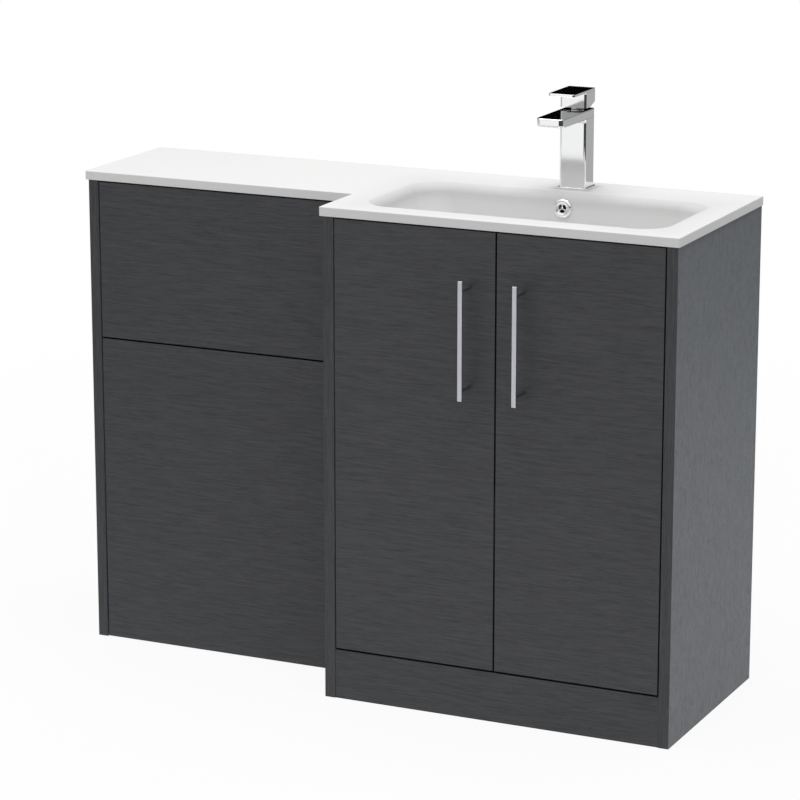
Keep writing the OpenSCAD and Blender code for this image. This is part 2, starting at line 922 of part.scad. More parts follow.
// The moulded duct behind the back wall takes the overflow down to the waste
module overflow_duct() {
    back = overflow_wall_y + bowl_wall + duct_d + duct_wall;
    board([bowl_x - duct_w / 2, overflow_wall_y - bowl_wall + cut, floor_under],
        [bowl_x + duct_w / 2, back, carcass_h]);
    board([bowl_x - duct_w / 2, -waste_y, floor_under - duct_d],
        [bowl_x + duct_w / 2, back, floor_under + 2]);
}

module overflow_channel() {
    y0 = overflow_wall_y + bowl_wall;
    half = duct_w / 2 - duct_wall;
    low = floor_under - duct_d + duct_wall;
    board([bowl_x - half, y0, low], [bowl_x + half, y0 + duct_d, overflow_z + overflow_r]);
    board([bowl_x - half, -waste_y, low], [bowl_x + half, y0 + duct_d, floor_under - cut]);
}

// On the back wall, facing out of it
module at_overflow() {
    translate([bowl_x, overflow_wall_y, overflow_z]) rotate([90 - overflow_tilt, 0, 0])
        children();
}

module basin_top() {
    color("#f1f1f0") placed() difference() {
        union() {
            translate([0, 0, carcass_h]) linear_extrude(top_t) polygon(top_outline);
            bowl_shell();
            overflow_duct();
            at_waste(floor_under - duct_d)
                cylinder(r = seat_r + duct_wall, h = duct_d + floor_t);
        }
        bowl_hollow();
        overflow_channel();
        at_overflow() translate([0, 0, -bowl_wall - cut])
            cylinder(r = overflow_r, h = 2 * bowl_wall + cut);
        at_waste(floor_under - duct_d - cut)
            cylinder(r = waste_hole_r, h = duct_d + floor_t + 2 * cut);
        at_waste(seat_z) cylinder(r = seat_r, h = seat_recess + cut);
        translate([bowl_x, -tap_y, carcass_h - cut])
            cylinder(r = tap_hole_r, h = top_t + 2 * cut);
    }
}

// A domed ring with three kidney slots round a small boss, on a short spigot
slot_r0 = 2.6;
slot_r1 = 8;
slot_half = 42;
cover_ring_r = 4;
cover_plate_t = 3;
spigot_l = 9;
spigot_wall = 2.2;
module overflow_cover() {
    ring_r = overflow_dia / 2;
    spigot_r = overflow_r - seat_gap;
    color("#d4d6d8") placed() at_overflow() translate([0, 0, seat_gap]) difference() {
        union() {
            rotate_extrude() polygon(concat(
                [[0, 0], [ring_r, 0]],
                arc(ring_r - cover_ring_r, 0.6, cover_ring_r, 0, 78, 6),
                [[slot_r1 + 0.8, cover_plate_t + 1.2], [slot_r1 + 0.2, cover_plate_t],
                 [slot_r0 - 0.4, cover_plate_t], [slot_r0 - 1, cover_plate_t + 0.6],
                 [0, cover_plate_t + 0.8]]
            ));
            translate([0, 0, -spigot_l]) cylinder(r = spigot_r, h = spigot_l + cut / 2);
        }
        translate([0, 0, -spigot_l - cut])
            cylinder(r = spigot_r - spigot_wall, h = spigot_l + cut / 2);
        for (k = [0 : 2])
            rotate([0, 0, 30 + 120 * k]) translate([0, 0, -cut]) intersection() {
                difference() {
                    cylinder(r = slot_r1, h = 2 * cover_plate_t);
                    translate([0, 0, -cut]) cylinder(r = slot_r0, h = 3 * cover_plate_t);
                }
                linear_extrude(2 * cover_plate_t) polygon([[0, 0],
                    ring_r * [cos(slot_half), sin(slot_half)],
                    ring_r * [cos(slot_half), -sin(slot_half)]]);
            }
    }
}

// ---- Waste and trap ----

module at_waste(z) {
    translate([bowl_x, -waste_y, z]) children();
}

// Flanged tail with a cross bridge that guides the plug's stem
module waste_flange() {
    color("#d4d6d8") placed() difference() {
        union() {
            at_waste(seat_z) rotate_extrude() polygon([
                [tail_r - tail_wall, -6], [tail_r, -6], [tail_r, 0], [seat_r - 0.5, 0],
                [seat_r - 1, 1.4], [tail_r + 4, 2.2], [tail_r - 1, 1], [tail_r - tail_wall, 0]
            ]);
            difference() {
                at_waste(tail_end) cylinder(r = tail_r, h = seat_z - tail_end);
                at_waste(tail_end - cut) cylinder(r = tail_r - tail_wall, h = tail_l + 10);
            }
            at_waste(seat_z - guide_drop) {
                for (a = [0, 90])
                    rotate([0, 0, a]) translate([-tail_r + 1, -bridge_t / 2, 0])
                        cube([2 * tail_r - 2, bridge_t, bridge_h]);
                cylinder(r = stem_r + guide_wall, h = guide_h);
            }
        }
        at_waste(seat_z - guide_drop - cut)
            cylinder(r = stem_r + run_gap, h = guide_h + 2 * cut);
        for (a = [45, 135])
            at_waste(floor_under - duct_d + 3) rotate([0, 0, a])
                translate([-tail_r - cut, -tail_slot[0] / 2, 0])
                    cube([2 * (tail_r + cut), tail_slot[0], tail_slot[1]]);
    }
}

module waste_seal() {
    color("#26262a") placed() at_waste(floor_under - duct_d - seal_t) difference() {
        cylinder(r = seat_r - 1, h = seal_t);
        translate([0, 0, -cut]) cylinder(r = tail_r + seal_gap, h = seal_t + 2 * cut);
    }
}

module waste_nut() {
    color("#d8c690") placed() at_waste(floor_under - duct_d - seal_t - waste_nut_t) difference() {
        cylinder(r = waste_nut_r, h = waste_nut_t, $fn = 8);
        translate([0, 0, -cut]) cylinder(r = tail_r + seal_gap, h = waste_nut_t + 2 * cut);
    }
}

// Domed plug on a stem; it rests closed and rises by its travel
module waste_plug() {
    color("#d4d6d8") placed() at_waste(seat_z) {
        rotate_extrude() polygon(concat(
            [[0, plug_gap], [plug_r, plug_gap]],
            [for (a = [90 / 8 : 90 / 8 : 90]) [plug_r * cos(a), plug_gap + plug_rise * sin(a)]]
        ));
        translate([0, 0, -stem_l]) cylinder(r = stem_r, h = stem_l + plug_gap + cut / 2);
        translate([0, 0, -4]) cylinder(r = tail_r - tail_wall - 1, h = 3);
    }
}

// A twelve-sided nut with a skirt over its thread and a lip round the tube
module trap_nut(outer, thread, tube) {
    difference() {
        cylinder(r = outer, h = nut_skirt + nut_lip, $fn = 12);
        translate([0, 0, -cut]) cylinder(r = thread + nut_thread_gap, h = nut_skirt + cut + trap_gap);
        translate([0, 0, -cut]) cylinder(r = tube + trap_gap, h = nut_skirt + nut_lip + 2 * cut);
    }
}

// Upper body of the bottle trap with its inlet neck, dip tube and side outlet
module trap_body() {
    out_z = pipe_z - trap_split_z;
    top = neck_top - trap_split_z;
    color("#e6e6e4") placed() at_waste(trap_split_z) difference() {
        union() {
            difference() {
                union() {
                    rotate_extrude() polygon([
                        [0, 0], [trap_r, 0], [trap_r, trap_shoulder],
                        [trap_r - 3, trap_shoulder + 5], [neck_r, trap_shoulder + 9],
                        [neck_r, top], [0, top]
                    ]);
                    rod_y([0, 0, out_z], boss_r, boss_l);
                }
                translate([0, 0, -cut]) cylinder(r = trap_r - trap_wall, h = trap_shoulder - cut);
                rod_y([0, trap_r - 8, out_z], pipe_r - pipe_wall, 12);
                rod_y([0, trap_r - trap_gap, out_z], pipe_r + trap_gap, boss_l);
            }
            translate([0, 0, -dip_l]) cylinder(r = dip_r + dip_wall, h = trap_shoulder + dip_l);
        }
        translate([0, 0, -dip_l - cut]) cylinder(r = dip_r, h = dip_l + top + 2 * cut);
        translate([0, 0, tail_end - trap_split_z - trap_gap])
            cylinder(r = tail_r + trap_gap, h = neck_top - tail_end + 2 * cut);
    }
}

module trap_cup() {
    h = trap_split_z - trap_cup_z;
    color("#eeeeec") placed() at_waste(trap_cup_z) difference() {
        rotate_extrude() polygon(concat(
            [[0, 0]], arc(trap_r - 8, 8, 8, -90, 0, 6),
            [[trap_r, h - cup_bead_h - 1], [trap_r + cup_bead, h - cup_bead_h],
             [trap_r + cup_bead, h], [0, h]]
        ));
        translate([0, 0, trap_wall]) cylinder(r = trap_r - trap_wall, h = h);
    }
}

module trap_nuts() {
    color("#f2f2f0") placed() at_waste(0) {
        translate([0, 0, neck_top - nut_skirt]) trap_nut(neck_r + nut_wall, neck_r, tail_r);
        translate([0, boss_l - nut_skirt, pipe_z]) rotate([-90, 0, 0])
            trap_nut(boss_r + nut_wall, boss_r, pipe_r);
    }
}

// The pipe to the wall; its end in the trap is eased a little smaller, as far as just past the nut
module trap_pipe() {
    eased = boss_l + nut_lip + pipe_ease_show;
    color("#ececea") placed() difference() {
        union() {
            rod_y([bowl_x, -waste_y + trap_r, pipe_z], pipe_r - pipe_ease, eased - trap_r + cut);
            rod_y([bowl_x, -waste_y + eased, pipe_z], pipe_r, waste_y - eased);
        }
        rod_y([bowl_x, -waste_y + trap_r - cut, pipe_z], pipe_r - pipe_wall,
            waste_y - trap_r + 2 * cut);
    }
}

// ---- Mixer ----

// A block with rounded upright edges, centred in x and y; b is the radius of its two back edges
module upright_block(w, d, h, r, b) {
    linear_extrude(h) polygon(concat(
        arc(w / 2 - b, d / 2 - b, b, 0, 90, 4), arc(-w / 2 + b, d / 2 - b, b, 90, 180, 4),
        arc(-w / 2 + r, -d / 2 + r, r, 180, 270, 4), arc(w / 2 - r, -d / 2 + r, r, 270, 360, 4)
    ));
}

// The same block from the mixer's back to a reach in front of its axis
module reaching_block(reach, h, b) {
    translate([0, (tap_d / 2 - reach) / 2, 0])
        upright_block(tap_w, reach + tap_d / 2, h, tap_edge_r, b);
}

module at_tap() {
    placed() translate([bowl_x, -tap_y, 0]) children();
}

module tap_flange() {
    color("#cfd1d4") at_tap() difference() {
        translate([0, 0, top_z]) upright_block(flange_w, flange_d, flange_t, flange_corner_r,
            flange_corner_r);
        translate([0, 0, top_z - cut]) cylinder(r = flange_bore_r, h = flange_t + 2 * cut);
    }
}

// Side outline of body and spout in (distance from the wall side, height), nose rounded
function body_outline() = concat(
    [[tap_d / 2, body_z], [tap_d / 2, body_top]],
    arc(-tap_reach + spout_top_r, body_top - spout_top_r, spout_top_r, 90, 180, 3),
    arc(-tap_reach + spout_nose_r, spout_z + spout_nose_r, spout_nose_r, 180, 270, 5),
    arc(-tap_d / 2 - spout_fillet_r, spout_z - spout_fillet_r, spout_fillet_r, 90, 0, 5),
    [[-tap_d / 2, body_z]]
);

module tap_body() {
    color("#cfd1d4") at_tap() difference() {
        intersection() {
            rotate([90, 0, 90]) translate([0, 0, -tap_w / 2]) linear_extrude(tap_w)
                polygon(body_outline());
            union() {
                translate([0, 0, body_z])
                    upright_block(tap_w, tap_d, tap_body_h, tap_edge_r, tap_edge_r);
                translate([0, 0, spout_z - spout_fillet_r])
                    reaching_block(tap_reach, spout_t + spout_fillet_r, tap_edge_r);
            }
        }
        translate([0, 0, body_top - cartridge_l - cap_t])
            cylinder(r = cartridge_r, h = cartridge_l + cap_t + cut);
        translate([-aerator_w / 2, aerator_y - aerator_d / 2, spout_z - cut])
            cube([aerator_w, aerator_d, aerator_t + cut]);
        for (s = [-1, 1])
            translate([s * inlet_x, 3, body_z - cut]) cylinder(r = inlet_r, h = inlet_l + cut);
        translate([0, stud_y, body_z - cut]) cylinder(r = stud_r, h = stud_in + 2 * cut);
    }
}

module tap_cartridge() {
    color("#8c2f2a") at_tap() difference() {
        translate([0, 0, body_top - cap_t - cartridge_l]) cylinder(r = cartridge_r, h = cartridge_l);
        translate([0, 0, body_top - cap_t - spindle_seat])
            cylinder(r = spindle_r + run_gap, h = spindle_seat + cut);
    }
}

// Retaining ring in the body's mouth with the narrow collar seen in the gap
module tap_collar() {
    color("#c2c4c8") at_tap() difference() {
        union() {
            translate([0, 0, body_top - cap_t]) cylinder(r = cartridge_r, h = cap_t);
            translate([0, 0, body_top - 1]) cylinder(r = collar_r, h = block_gap);
        }
        translate([0, 0, body_top - cap_t - cut])
            cylinder(r = spindle_r + run_gap, h = cap_t + block_gap + 2 * cut);
    }
}

module tap_aerator() {
    color("#9a9ca0") at_tap() difference() {
        translate([-aerator_w / 2, aerator_y - aerator_d / 2, spout_z])
            cube([aerator_w, aerator_d, aerator_t]);
        for (i = [-2 : 2], j = [-1 : 1])
            translate([i * aerator_pitch[0] - aerator_slot[0] / 2,
                aerator_y + j * aerator_pitch[1] - aerator_slot[1] / 2, spout_z - cut])
                cube([aerator_slot[0], aerator_slot[1], aerator_t - 2 + cut]);
    }
}

// Turning spindle with a flat tongue for the lever's cross pin
module tap_spindle() {
    color("#b0a070") at_tap() difference() {
        union() {
            translate([0, 0, body_top - cap_t - spindle_seat + spindle_end])
                cylinder(r = spindle_r, h = spindle_seat + cap_t + block_gap - 1);
            translate([-tongue_t / 2, -tongue_r, block_z - 2])
                cube([tongue_t, 2 * tongue_r, pivot_z - block_z + 2]);
            rod_x([-tongue_t / 2, 0, pivot_z], tongue_r, tongue_t);
        }
        rod_x([-tongue_t, 0, pivot_z], pivot_r + run_gap, 2 * tongue_t);
    }
}

// Side outline of the lever: block, chamfer under its back, plate reaching over the spout
module tap_lever() {
    color("#cfd1d4") at_tap() difference() {
        intersection() {
            rotate([90, 0, 90]) translate([0, 0, -tap_w / 2]) linear_extrude(tap_w) polygon([
                [-tap_d / 2, block_z], [tap_d / 2 - chamfer_l, block_z],
                [tap_d / 2, block_z + chamfer_h], [tap_d / 2, block_top - edge_cut],
                [tap_d / 2 - edge_cut, block_top], [-lever_reach + edge_cut, block_top],
                [-lever_reach, block_top - edge_cut],
                [-lever_reach, block_top - lever_t + edge_cut],
                [-lever_reach + edge_cut, block_top - lever_t],
                [-tap_d / 2 - neck_fillet, block_top - lever_t],
                [-tap_d / 2, block_top - lever_t - neck_fillet]
            ]);
            union() {
                translate([0, 0, block_z])
                    upright_block(tap_w, tap_d, block_h, tap_edge_r, lever_edge_r);
                translate([0, 0, block_top - lever_t - neck_fillet])
                    reaching_block(lever_reach, lever_t + neck_fillet, lever_edge_r);
            }
        }
        translate([0, 0, block_z - cut]) cylinder(r = block_bore_r, h = block_bore_h + cut);
        rod_x([-tap_w / 2 + pivot_in, 0, pivot_z], pivot_r, tap_w - 2 * pivot_in);
    }
}

module tap_pivot() {
    l = tap_w - 2 * (pivot_in + 0.2);
    color("#c8c8cc") at_tap() rod_x([-l / 2, 0, pivot_z], pivot_r, l);
}

// Threaded stud and its nut
module tap_fixing() {
    color("#c9b878") at_tap() translate([0, stud_y, 0]) {
        translate([0, 0, carcass_h - stud_out])
            cylinder(r = stud_r, h = stud_out + top_t + flange_t + stud_in);
        translate([0, 0, carcass_h - clamp_t - stud_nut_t])
            cylinder(r = stud_nut_r, h = stud_nut_t, $fn = 6);
    }
}

// Horseshoe plate on its pad under the worktop
module tap_clamp() {
    color("#3a3a3e") at_tap() translate([0, 0, carcass_h - clamp_t]) difference() {
        cylinder(r = tap_hole_r + 2.5, h = clamp_t);
        translate([0, stud_y, -cut]) cylinder(r = stud_r + 0.2, h = clamp_t + 2 * cut);
        translate([-clamp_slot, stud_y + stud_nut_r, -cut])
            cube([2 * clamp_slot, 2 * tap_hole_r, clamp_t + 2 * cut]);
    }
}

wc_side_left();
wc_side_right();
wc_front_lower();
wc_rail_top_front();
wc_rail_mid();
wc_rail_bottom_front();
wc_rail_back_top();
wc_rail_back_low();
clip_sockets();
wc_access_panel();
panel_clips();
vanity_side_left();
vanity_side_right();
vanity_base();
vanity_rail_back_top();
vanity_rail_back_low();
plinth();
shelf();
shelf_pins();
door_stops();
connector_bolts();
wall_brackets();
top_brackets();
hinge_plates_left();
hinge_arms_left();
hinge_cups_left();
hinge_pins_left();
hinge_plates_right();
hinge_arms_right();
hinge_cups_right();
hinge_pins_right();
door_left();
door_right();
handle_left();
handle_right();
handle_screws_left();
handle_screws_right();
basin_top();
overflow_cover();
waste_flange();
waste_seal();
waste_nut();
waste_plug();
trap_body();
trap_cup();
trap_nuts();
trap_pipe();
tap_flange();
tap_body();
tap_cartridge();
tap_collar();
tap_aerator();
tap_spindle();
tap_lever();
tap_pivot();
tap_fixing();
tap_clamp();
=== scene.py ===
# Looks for the bathroom combination unit: worktop with basin, mixer, two cabinets and their fittings.
import json
import math
import bmesh
import bpy
import numpy as np
from mathutils import Matrix, Vector
from mathutils.geometry import tessellate_polygon


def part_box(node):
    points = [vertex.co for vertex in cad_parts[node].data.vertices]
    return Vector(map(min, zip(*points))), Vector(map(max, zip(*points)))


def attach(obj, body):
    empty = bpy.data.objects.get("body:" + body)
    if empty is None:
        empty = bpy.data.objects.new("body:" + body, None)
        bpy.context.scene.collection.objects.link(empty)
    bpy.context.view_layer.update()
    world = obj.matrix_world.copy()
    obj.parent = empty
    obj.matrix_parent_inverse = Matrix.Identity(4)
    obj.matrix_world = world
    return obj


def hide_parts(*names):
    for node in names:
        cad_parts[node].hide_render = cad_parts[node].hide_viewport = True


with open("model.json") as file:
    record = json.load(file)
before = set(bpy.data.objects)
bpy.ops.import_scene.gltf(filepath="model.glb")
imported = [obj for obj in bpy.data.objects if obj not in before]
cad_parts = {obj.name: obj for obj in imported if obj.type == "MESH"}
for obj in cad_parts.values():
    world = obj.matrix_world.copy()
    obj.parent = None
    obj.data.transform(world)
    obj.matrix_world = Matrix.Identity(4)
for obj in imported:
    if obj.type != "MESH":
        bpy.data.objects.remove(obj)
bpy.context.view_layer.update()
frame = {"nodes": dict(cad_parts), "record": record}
nodes = frame["nodes"]
print("frame loaded:", len(nodes), "nodes")

shift = np.array([-0.548, 0.209, 0.0])  # from the toilet unit's left wall corner to the middle of the box


def inFrame(points):  # millimetres from the left wall corner, to metres in the shared frame
    return np.asarray(points, float) / 1000 + shift


def addObject(name, data):
    thing = bpy.data.objects.new(name, data)
    bpy.context.scene.collection.objects.link(thing)
    return thing


camera = dict(at=(2.25668, -4.80595, 1.79705), tilt=75.938, turn=25.095, lens=149.38, sensor=36.0)
camData = bpy.data.cameras.new("photoCamera")
camData.lens = camera["lens"]
camData.sensor_width = camera["sensor"]
camObject = addObject("photoCamera", camData)
camObject.location = camera["at"]
camObject.rotation_euler = (math.radians(camera["tilt"]), 0, math.radians(camera["turn"]))
bpy.context.scene.camera = camObject
bpy.context.scene.view_settings.view_transform = "Standard"


def feed(tree, socket, value):  # links another socket or sets a constant; colours come as three numbers
    if isinstance(value, bpy.types.NodeSocket):
        tree.links.new(value, socket)
    else:
        socket.default_value = (*value, 1) if socket.type == "RGBA" else value


def addNode(tree, kind, feeds=None, **settings):  # feeds: a link or constant for each socket name or number
    node = tree.nodes.new(kind)
    for key, value in settings.items():
        setattr(node, key, value)
    for key, value in (feeds or {}).items():
        feed(tree, node.inputs[key], value)
    return node


def mathNode(tree, operation, a, b, clamp=False):
    return addNode(tree, "ShaderNodeMath", {0: a, 1: b}, operation=operation, use_clamp=clamp).outputs[0]


def multiply(tree, a, b, clamp=False):
    return mathNode(tree, "MULTIPLY", a, b, clamp)


def weighted(tree, a, b, shares):
    return mathNode(tree, "ADD", multiply(tree, a, shares[0]), multiply(tree, b, shares[1]))


def vectorMath(tree, operation, *feeds):
    node = addNode(tree, "ShaderNodeVectorMath", dict(enumerate(feeds)), operation=operation)
    return node.outputs["Value" if operation in ("LENGTH", "DOT_PRODUCT") else "Vector"]


def mixColor(tree, factor, a, b):
    return addNode(tree, "ShaderNodeMix", {0: factor, 6: a, 7: b}, data_type="RGBA").outputs[2]


def mixFloat(tree, factor, a, b):
    return addNode(tree, "ShaderNodeMix", {0: factor, 2: a, 3: b}, data_type="FLOAT").outputs[0]


def noise(tree, vector, scale, detail, rough):
    feeds = {"Vector": vector, "Scale": scale, "Detail": detail, "Roughness": rough}
    return addNode(tree, "ShaderNodeTexNoise", feeds).outputs["Fac"]


def ramp(tree, value, low, high, outLow=0.0, outHigh=1.0):
    feeds = {"Value": value, "From Min": low, "From Max": high, "To Min": outLow, "To Max": outHigh}
    return addNode(tree, "ShaderNodeMapRange", feeds, interpolation_type="SMOOTHSTEP").outputs["Result"]


def objectPlace(tree):
    return addNode(tree, "ShaderNodeTexCoord").outputs["Object"]


def squeezed(tree, scale):
    return addNode(tree, "ShaderNodeMapping", {"Vector": objectPlace(tree), "Scale": scale}).outputs["Vector"]


def startGroup(name, inputs, outputs):  # the kind of each socket by its name
    group = bpy.data.node_groups.new(name, "ShaderNodeTree")
    for side, sockets in (("INPUT", inputs), ("OUTPUT", outputs)):
        for key, kind in sockets.items():
            group.interface.new_socket(name=key, in_out=side, socket_type="NodeSocket" + kind)
    return group, addNode(group, "NodeGroupInput").outputs, addNode(group, "NodeGroupOutput").inputs


def useGroup(tree, group, feeds):
    return addNode(tree, "ShaderNodeGroup", feeds, node_tree=group).outputs


surfaceOutputs = {"Color": "Color", "Roughness": "Float", "Height": "Float"}
# noises are (scale, detail, roughness), in life without the scale; ranges are where a mask starts and is full
grain = dict(wander=0.35, bend=0.9, wide=(0.32, 3, 0.6), middle=(0.9, 4, 0.65), fine=(2.6, 3, 0.7),
             streakShares=(0.35, 0.65), streakRange=(0.36, 0.66), poreShares=(0.6, 0.4), poreRange=(0.42, 0.52),
             poreRough=0.12, streakHeight=0.35)
# painted highlight on rounded edges: its noise, mask range and least share
wear = dict(noise=(60, 3, 0.55), range=(0.35, 0.65), least=0.4)
life = dict(noise=(2, 0.5), range=(0.15, 0.85), middle=0.5)
scratches = dict(noise=(1.0, 4, 0.7), range=(0.3, 0.7), rough=0.12)


def makeWoodGrain():  # long pores and soft streaks along one direction; the caller squeezes the vector
    tree, get, put = startGroup("woodGrain", {
        "Vector": "Vector", "Base": "Color", "Pore": "Color", "Streak": "Color", "Pore Amount": "Float",
        "Streak Amount": "Float", "Gloss": "Float"}, surfaceOutputs)
    feeds = {"Vector": get["Vector"], "Scale": grain["wander"]}
    wander = addNode(tree, "ShaderNodeTexNoise", feeds).outputs["Color"]
    line = vectorMath(tree, "MULTIPLY_ADD", wander, [grain["bend"]] * 3, get["Vector"])
    wide, middle, fine = [noise(tree, line, *grain[key]) for key in ("wide", "middle", "fine")]
    streakMask = ramp(tree, weighted(tree, wide, middle, grain["streakShares"]), *grain["streakRange"])
    poreMask = ramp(tree, weighted(tree, fine, middle, grain["poreShares"]), *grain["poreRange"], 1.0, 0.0)
    lit = mixColor(tree, multiply(tree, streakMask, get["Streak Amount"]), get["Base"], get["Streak"])
    feed(tree, put["Color"], mixColor(tree, multiply(tree, poreMask, get["Pore Amount"]), lit, get["Pore"]))
    feed(tree, put["Roughness"], mathNode(tree, "ADD", get["Gloss"], multiply(tree, poreMask, grain["poreRough"])))
    raised = multiply(tree, streakMask, grain["streakHeight"])
    feed(tree, put["Height"], mathNode(tree, "SUBTRACT", raised, poreMask))
    return tree


def makeEdgeHighlight():  # painted highlight: rounded edges are painted a lighter colour, as if they caught a little more light; the mask is painted into the mesh
    tree, get, put = startGroup("edgeWear", {"Color": "Color", "Worn": "Color", "Amount": "Float"},
                                {"Color": "Color"})
    mask = addNode(tree, "ShaderNodeAttribute", attribute_name="edgeMask").outputs["Fac"]
    broken = ramp(tree, noise(tree, objectPlace(tree), *wear["noise"]), *wear["range"], wear["least"], 1.0)
    share = multiply(tree, multiply(tree, mask, broken), get["Amount"], clamp=True)
    feed(tree, put["Color"], mixColor(tree, share, get["Color"], get["Worn"]))
    return tree


def makeSurfaceLife():  # cloudy tone, wiped marks in the gloss and a fine unevenness
    tree, get, put = startGroup("surfaceLife", {
        "Color": "Color", "Cloud": "Color", "Cloud Amount": "Float", "Cloud Scale": "Float", "Gloss": "Float",
        "Gloss Change": "Float", "Fine Scale": "Float"}, surfaceOutputs)
    spot = objectPlace(tree)
    cloud = ramp(tree, noise(tree, spot, get["Cloud Scale"], *life["noise"]), *life["range"])
    feed(tree, put["Color"], mixColor(tree, multiply(tree, cloud, get["Cloud Amount"]), get["Color"], get["Cloud"]))
    wiped = multiply(tree, mathNode(tree, "SUBTRACT", cloud, life["middle"]), get["Gloss Change"])
    feed(tree, put["Roughness"], mathNode(tree, "ADD", get["Gloss"], wiped, clamp=True))
    feed(tree, put["Height"], noise(tree, spot, get["Fine Scale"], *life["noise"]))
    return tree


def makeBrushed():  # fine parallel scratches; the caller squeezes the vector
    tree, get, put = startGroup("brushedLines", {
        "Vector": "Vector", "Color": "Color", "Dark": "Color", "Amount": "Float", "Gloss": "Float"}, surfaceOutputs)
    line = noise(tree, get["Vector"], *scratches["noise"])
    mask = ramp(tree, line, *scratches["range"])
    feed(tree, put["Color"], mixColor(tree, multiply(tree, mask, get["Amount"]), get["Color"], get["Dark"]))
    feed(tree, put["Roughness"], mathNode(tree, "ADD", get["Gloss"], multiply(tree, mask, scratches["rough"])))
    feed(tree, put["Height"], line)
    return tree


def makeNearShade():  # painted shade near an upright box: 1 - depth (1 - distance / reach) ** power, with the distance to the box
    tree, get, put = startGroup("nearShade", {
        "Middle": "Vector", "Half": "Vector", "Reach": "Float", "Power": "Float", "Depth": "Float"},
        {"Share": "Float"})
    off = vectorMath(tree, "ABSOLUTE", vectorMath(tree, "SUBTRACT", objectPlace(tree), get["Middle"]))
    outside = vectorMath(tree, "MAXIMUM", vectorMath(tree, "SUBTRACT", off, get["Half"]), (0, 0, 0))
    part = mathNode(tree, "DIVIDE", vectorMath(tree, "LENGTH", outside), get["Reach"])
    near = mathNode(tree, "SUBTRACT", 1.0, part, clamp=True)
    fall = multiply(tree, mathNode(tree, "POWER", near, get["Power"]), get["Depth"])
    feed(tree, put["Share"], mathNode(tree, "SUBTRACT", 1.0, fall))
    return tree


woodGrain, edgeWear, nearShade = makeWoodGrain(), makeEdgeHighlight(), makeNearShade()
surfaceLife, brushedLines = makeSurfaceLife(), makeBrushed()


def startMaterial(name, constants):  # constants of the shader by socket name
    material = bpy.data.materials.new(name)
    material.use_nodes = True
    tree = material.node_tree
    shader = next(n for n in tree.nodes if n.type == "BSDF_PRINCIPLED")
    for key, value in constants.items():
        feed(tree, shader.inputs[key], value)
    return material, tree, shader


bumpStrength = 0.5


def finishMaterial(tree, shader, color, rough, height, bump):
    feed(tree, shader.inputs["Base Color"], color)
    feed(tree, shader.inputs["Roughness"], rough)
    node = addNode(tree, "ShaderNodeBump", {"Distance": bump, "Strength": bumpStrength, "Height": height})
    feed(tree, shader.inputs["Normal"], node.outputs["Normal"])


wood = dict(base=(0.0345, 0.0345, 0.037), pore=(0.016, 0.016, 0.0175), streak=(0.058, 0.0595, 0.062),
            poreAmount=0.72, streakAmount=0.68, gloss=0.45, bump=0.00012, worn=2, wear=0.12, sheen=0.3,
            sheenRough=0.5, sheenTint=(0.8, 0.9, 1.0))


def makeWood(name, scale, **changes):
    look = {**wood, **changes}
    material, tree, shader = startMaterial(name, {
        "Sheen Weight": look["sheen"], "Sheen Roughness": look["sheenRough"], "Sheen Tint": look["sheenTint"]})
    lines = useGroup(tree, woodGrain, {
        "Vector": squeezed(tree, scale), "Base": look["base"], "Pore": look["pore"], "Streak": look["streak"],
        "Pore Amount": look["poreAmount"], "Streak Amount": look["streakAmount"], "Gloss": look["gloss"]})
    # painted highlight: rounded edges of the wood are painted lighter
    worn = useGroup(tree, edgeWear, {
        "Color": lines["Color"], "Worn": [look["worn"] * c for c in look["base"]], "Amount": look["wear"]})
    finishMaterial(tree, shader, worn["Color"], lines["Roughness"], lines["Height"], look["bump"])
    return material


def makePlain(name, color, cloud, gloss, amount, cloudScale, fine, change=0.06, bump=0.00003, metallic=0.0,
              specular=0.5):
    material, tree, shader = startMaterial(name, {"Metallic": metallic, "Specular IOR Level": specular})
    out = useGroup(tree, surfaceLife, {
        "Color": color, "Cloud": cloud, "Cloud Amount": amount, "Cloud Scale": cloudScale, "Gloss": gloss,
        "Gloss Change": change, "Fine Scale": fine})
    finishMaterial(tree, shader, out["Color"], out["Roughness"], out["Height"], bump)
    return material


brushed = dict(amount=0.3, bump=0.00002, worn=1.3, wear=0.5)


def makeBrushedMetal(name, scale, color, dark, gloss):
    material, tree, shader = startMaterial(name, {"Metallic": 1.0})
    lines = useGroup(tree, brushedLines, {
        "Vector": squeezed(tree, scale), "Color": color, "Dark": dark, "Amount": brushed["amount"], "Gloss": gloss})
    # painted highlight: rounded edges of the metal are painted lighter
    worn = useGroup(tree, edgeWear, {
        "Color": lines["Color"], "Worn": [min(1, brushed["worn"] * c) for c in color], "Amount": brushed["wear"]})
    finishMaterial(tree, shader, worn["Color"], lines["Roughness"], lines["Height"], brushed["bump"])
    return material


resin = dict(
    color=(0.82, 0.82, 0.818), cloud=(0.793, 0.793, 0.789), amount=0.5, scale=7, gloss=0.42, change=0.05,
    fine=700, bump=0.00001, specular=0.03,
    # painted shade: a contact shadow round the mixer's flange and a broad shade round the bowl
    flange={"Middle": (0.252, 0.1535, 0.817), "Half": (0.0255, 0.022, 1), "Reach": 0.03, "Power": 3, "Depth": 0.33},
    bowl={"Middle": (0.252, -0.01, 0.817), "Half": (0.26, 0.123, 1), "Reach": 0.075, "Power": 1.3, "Depth": 0.065})


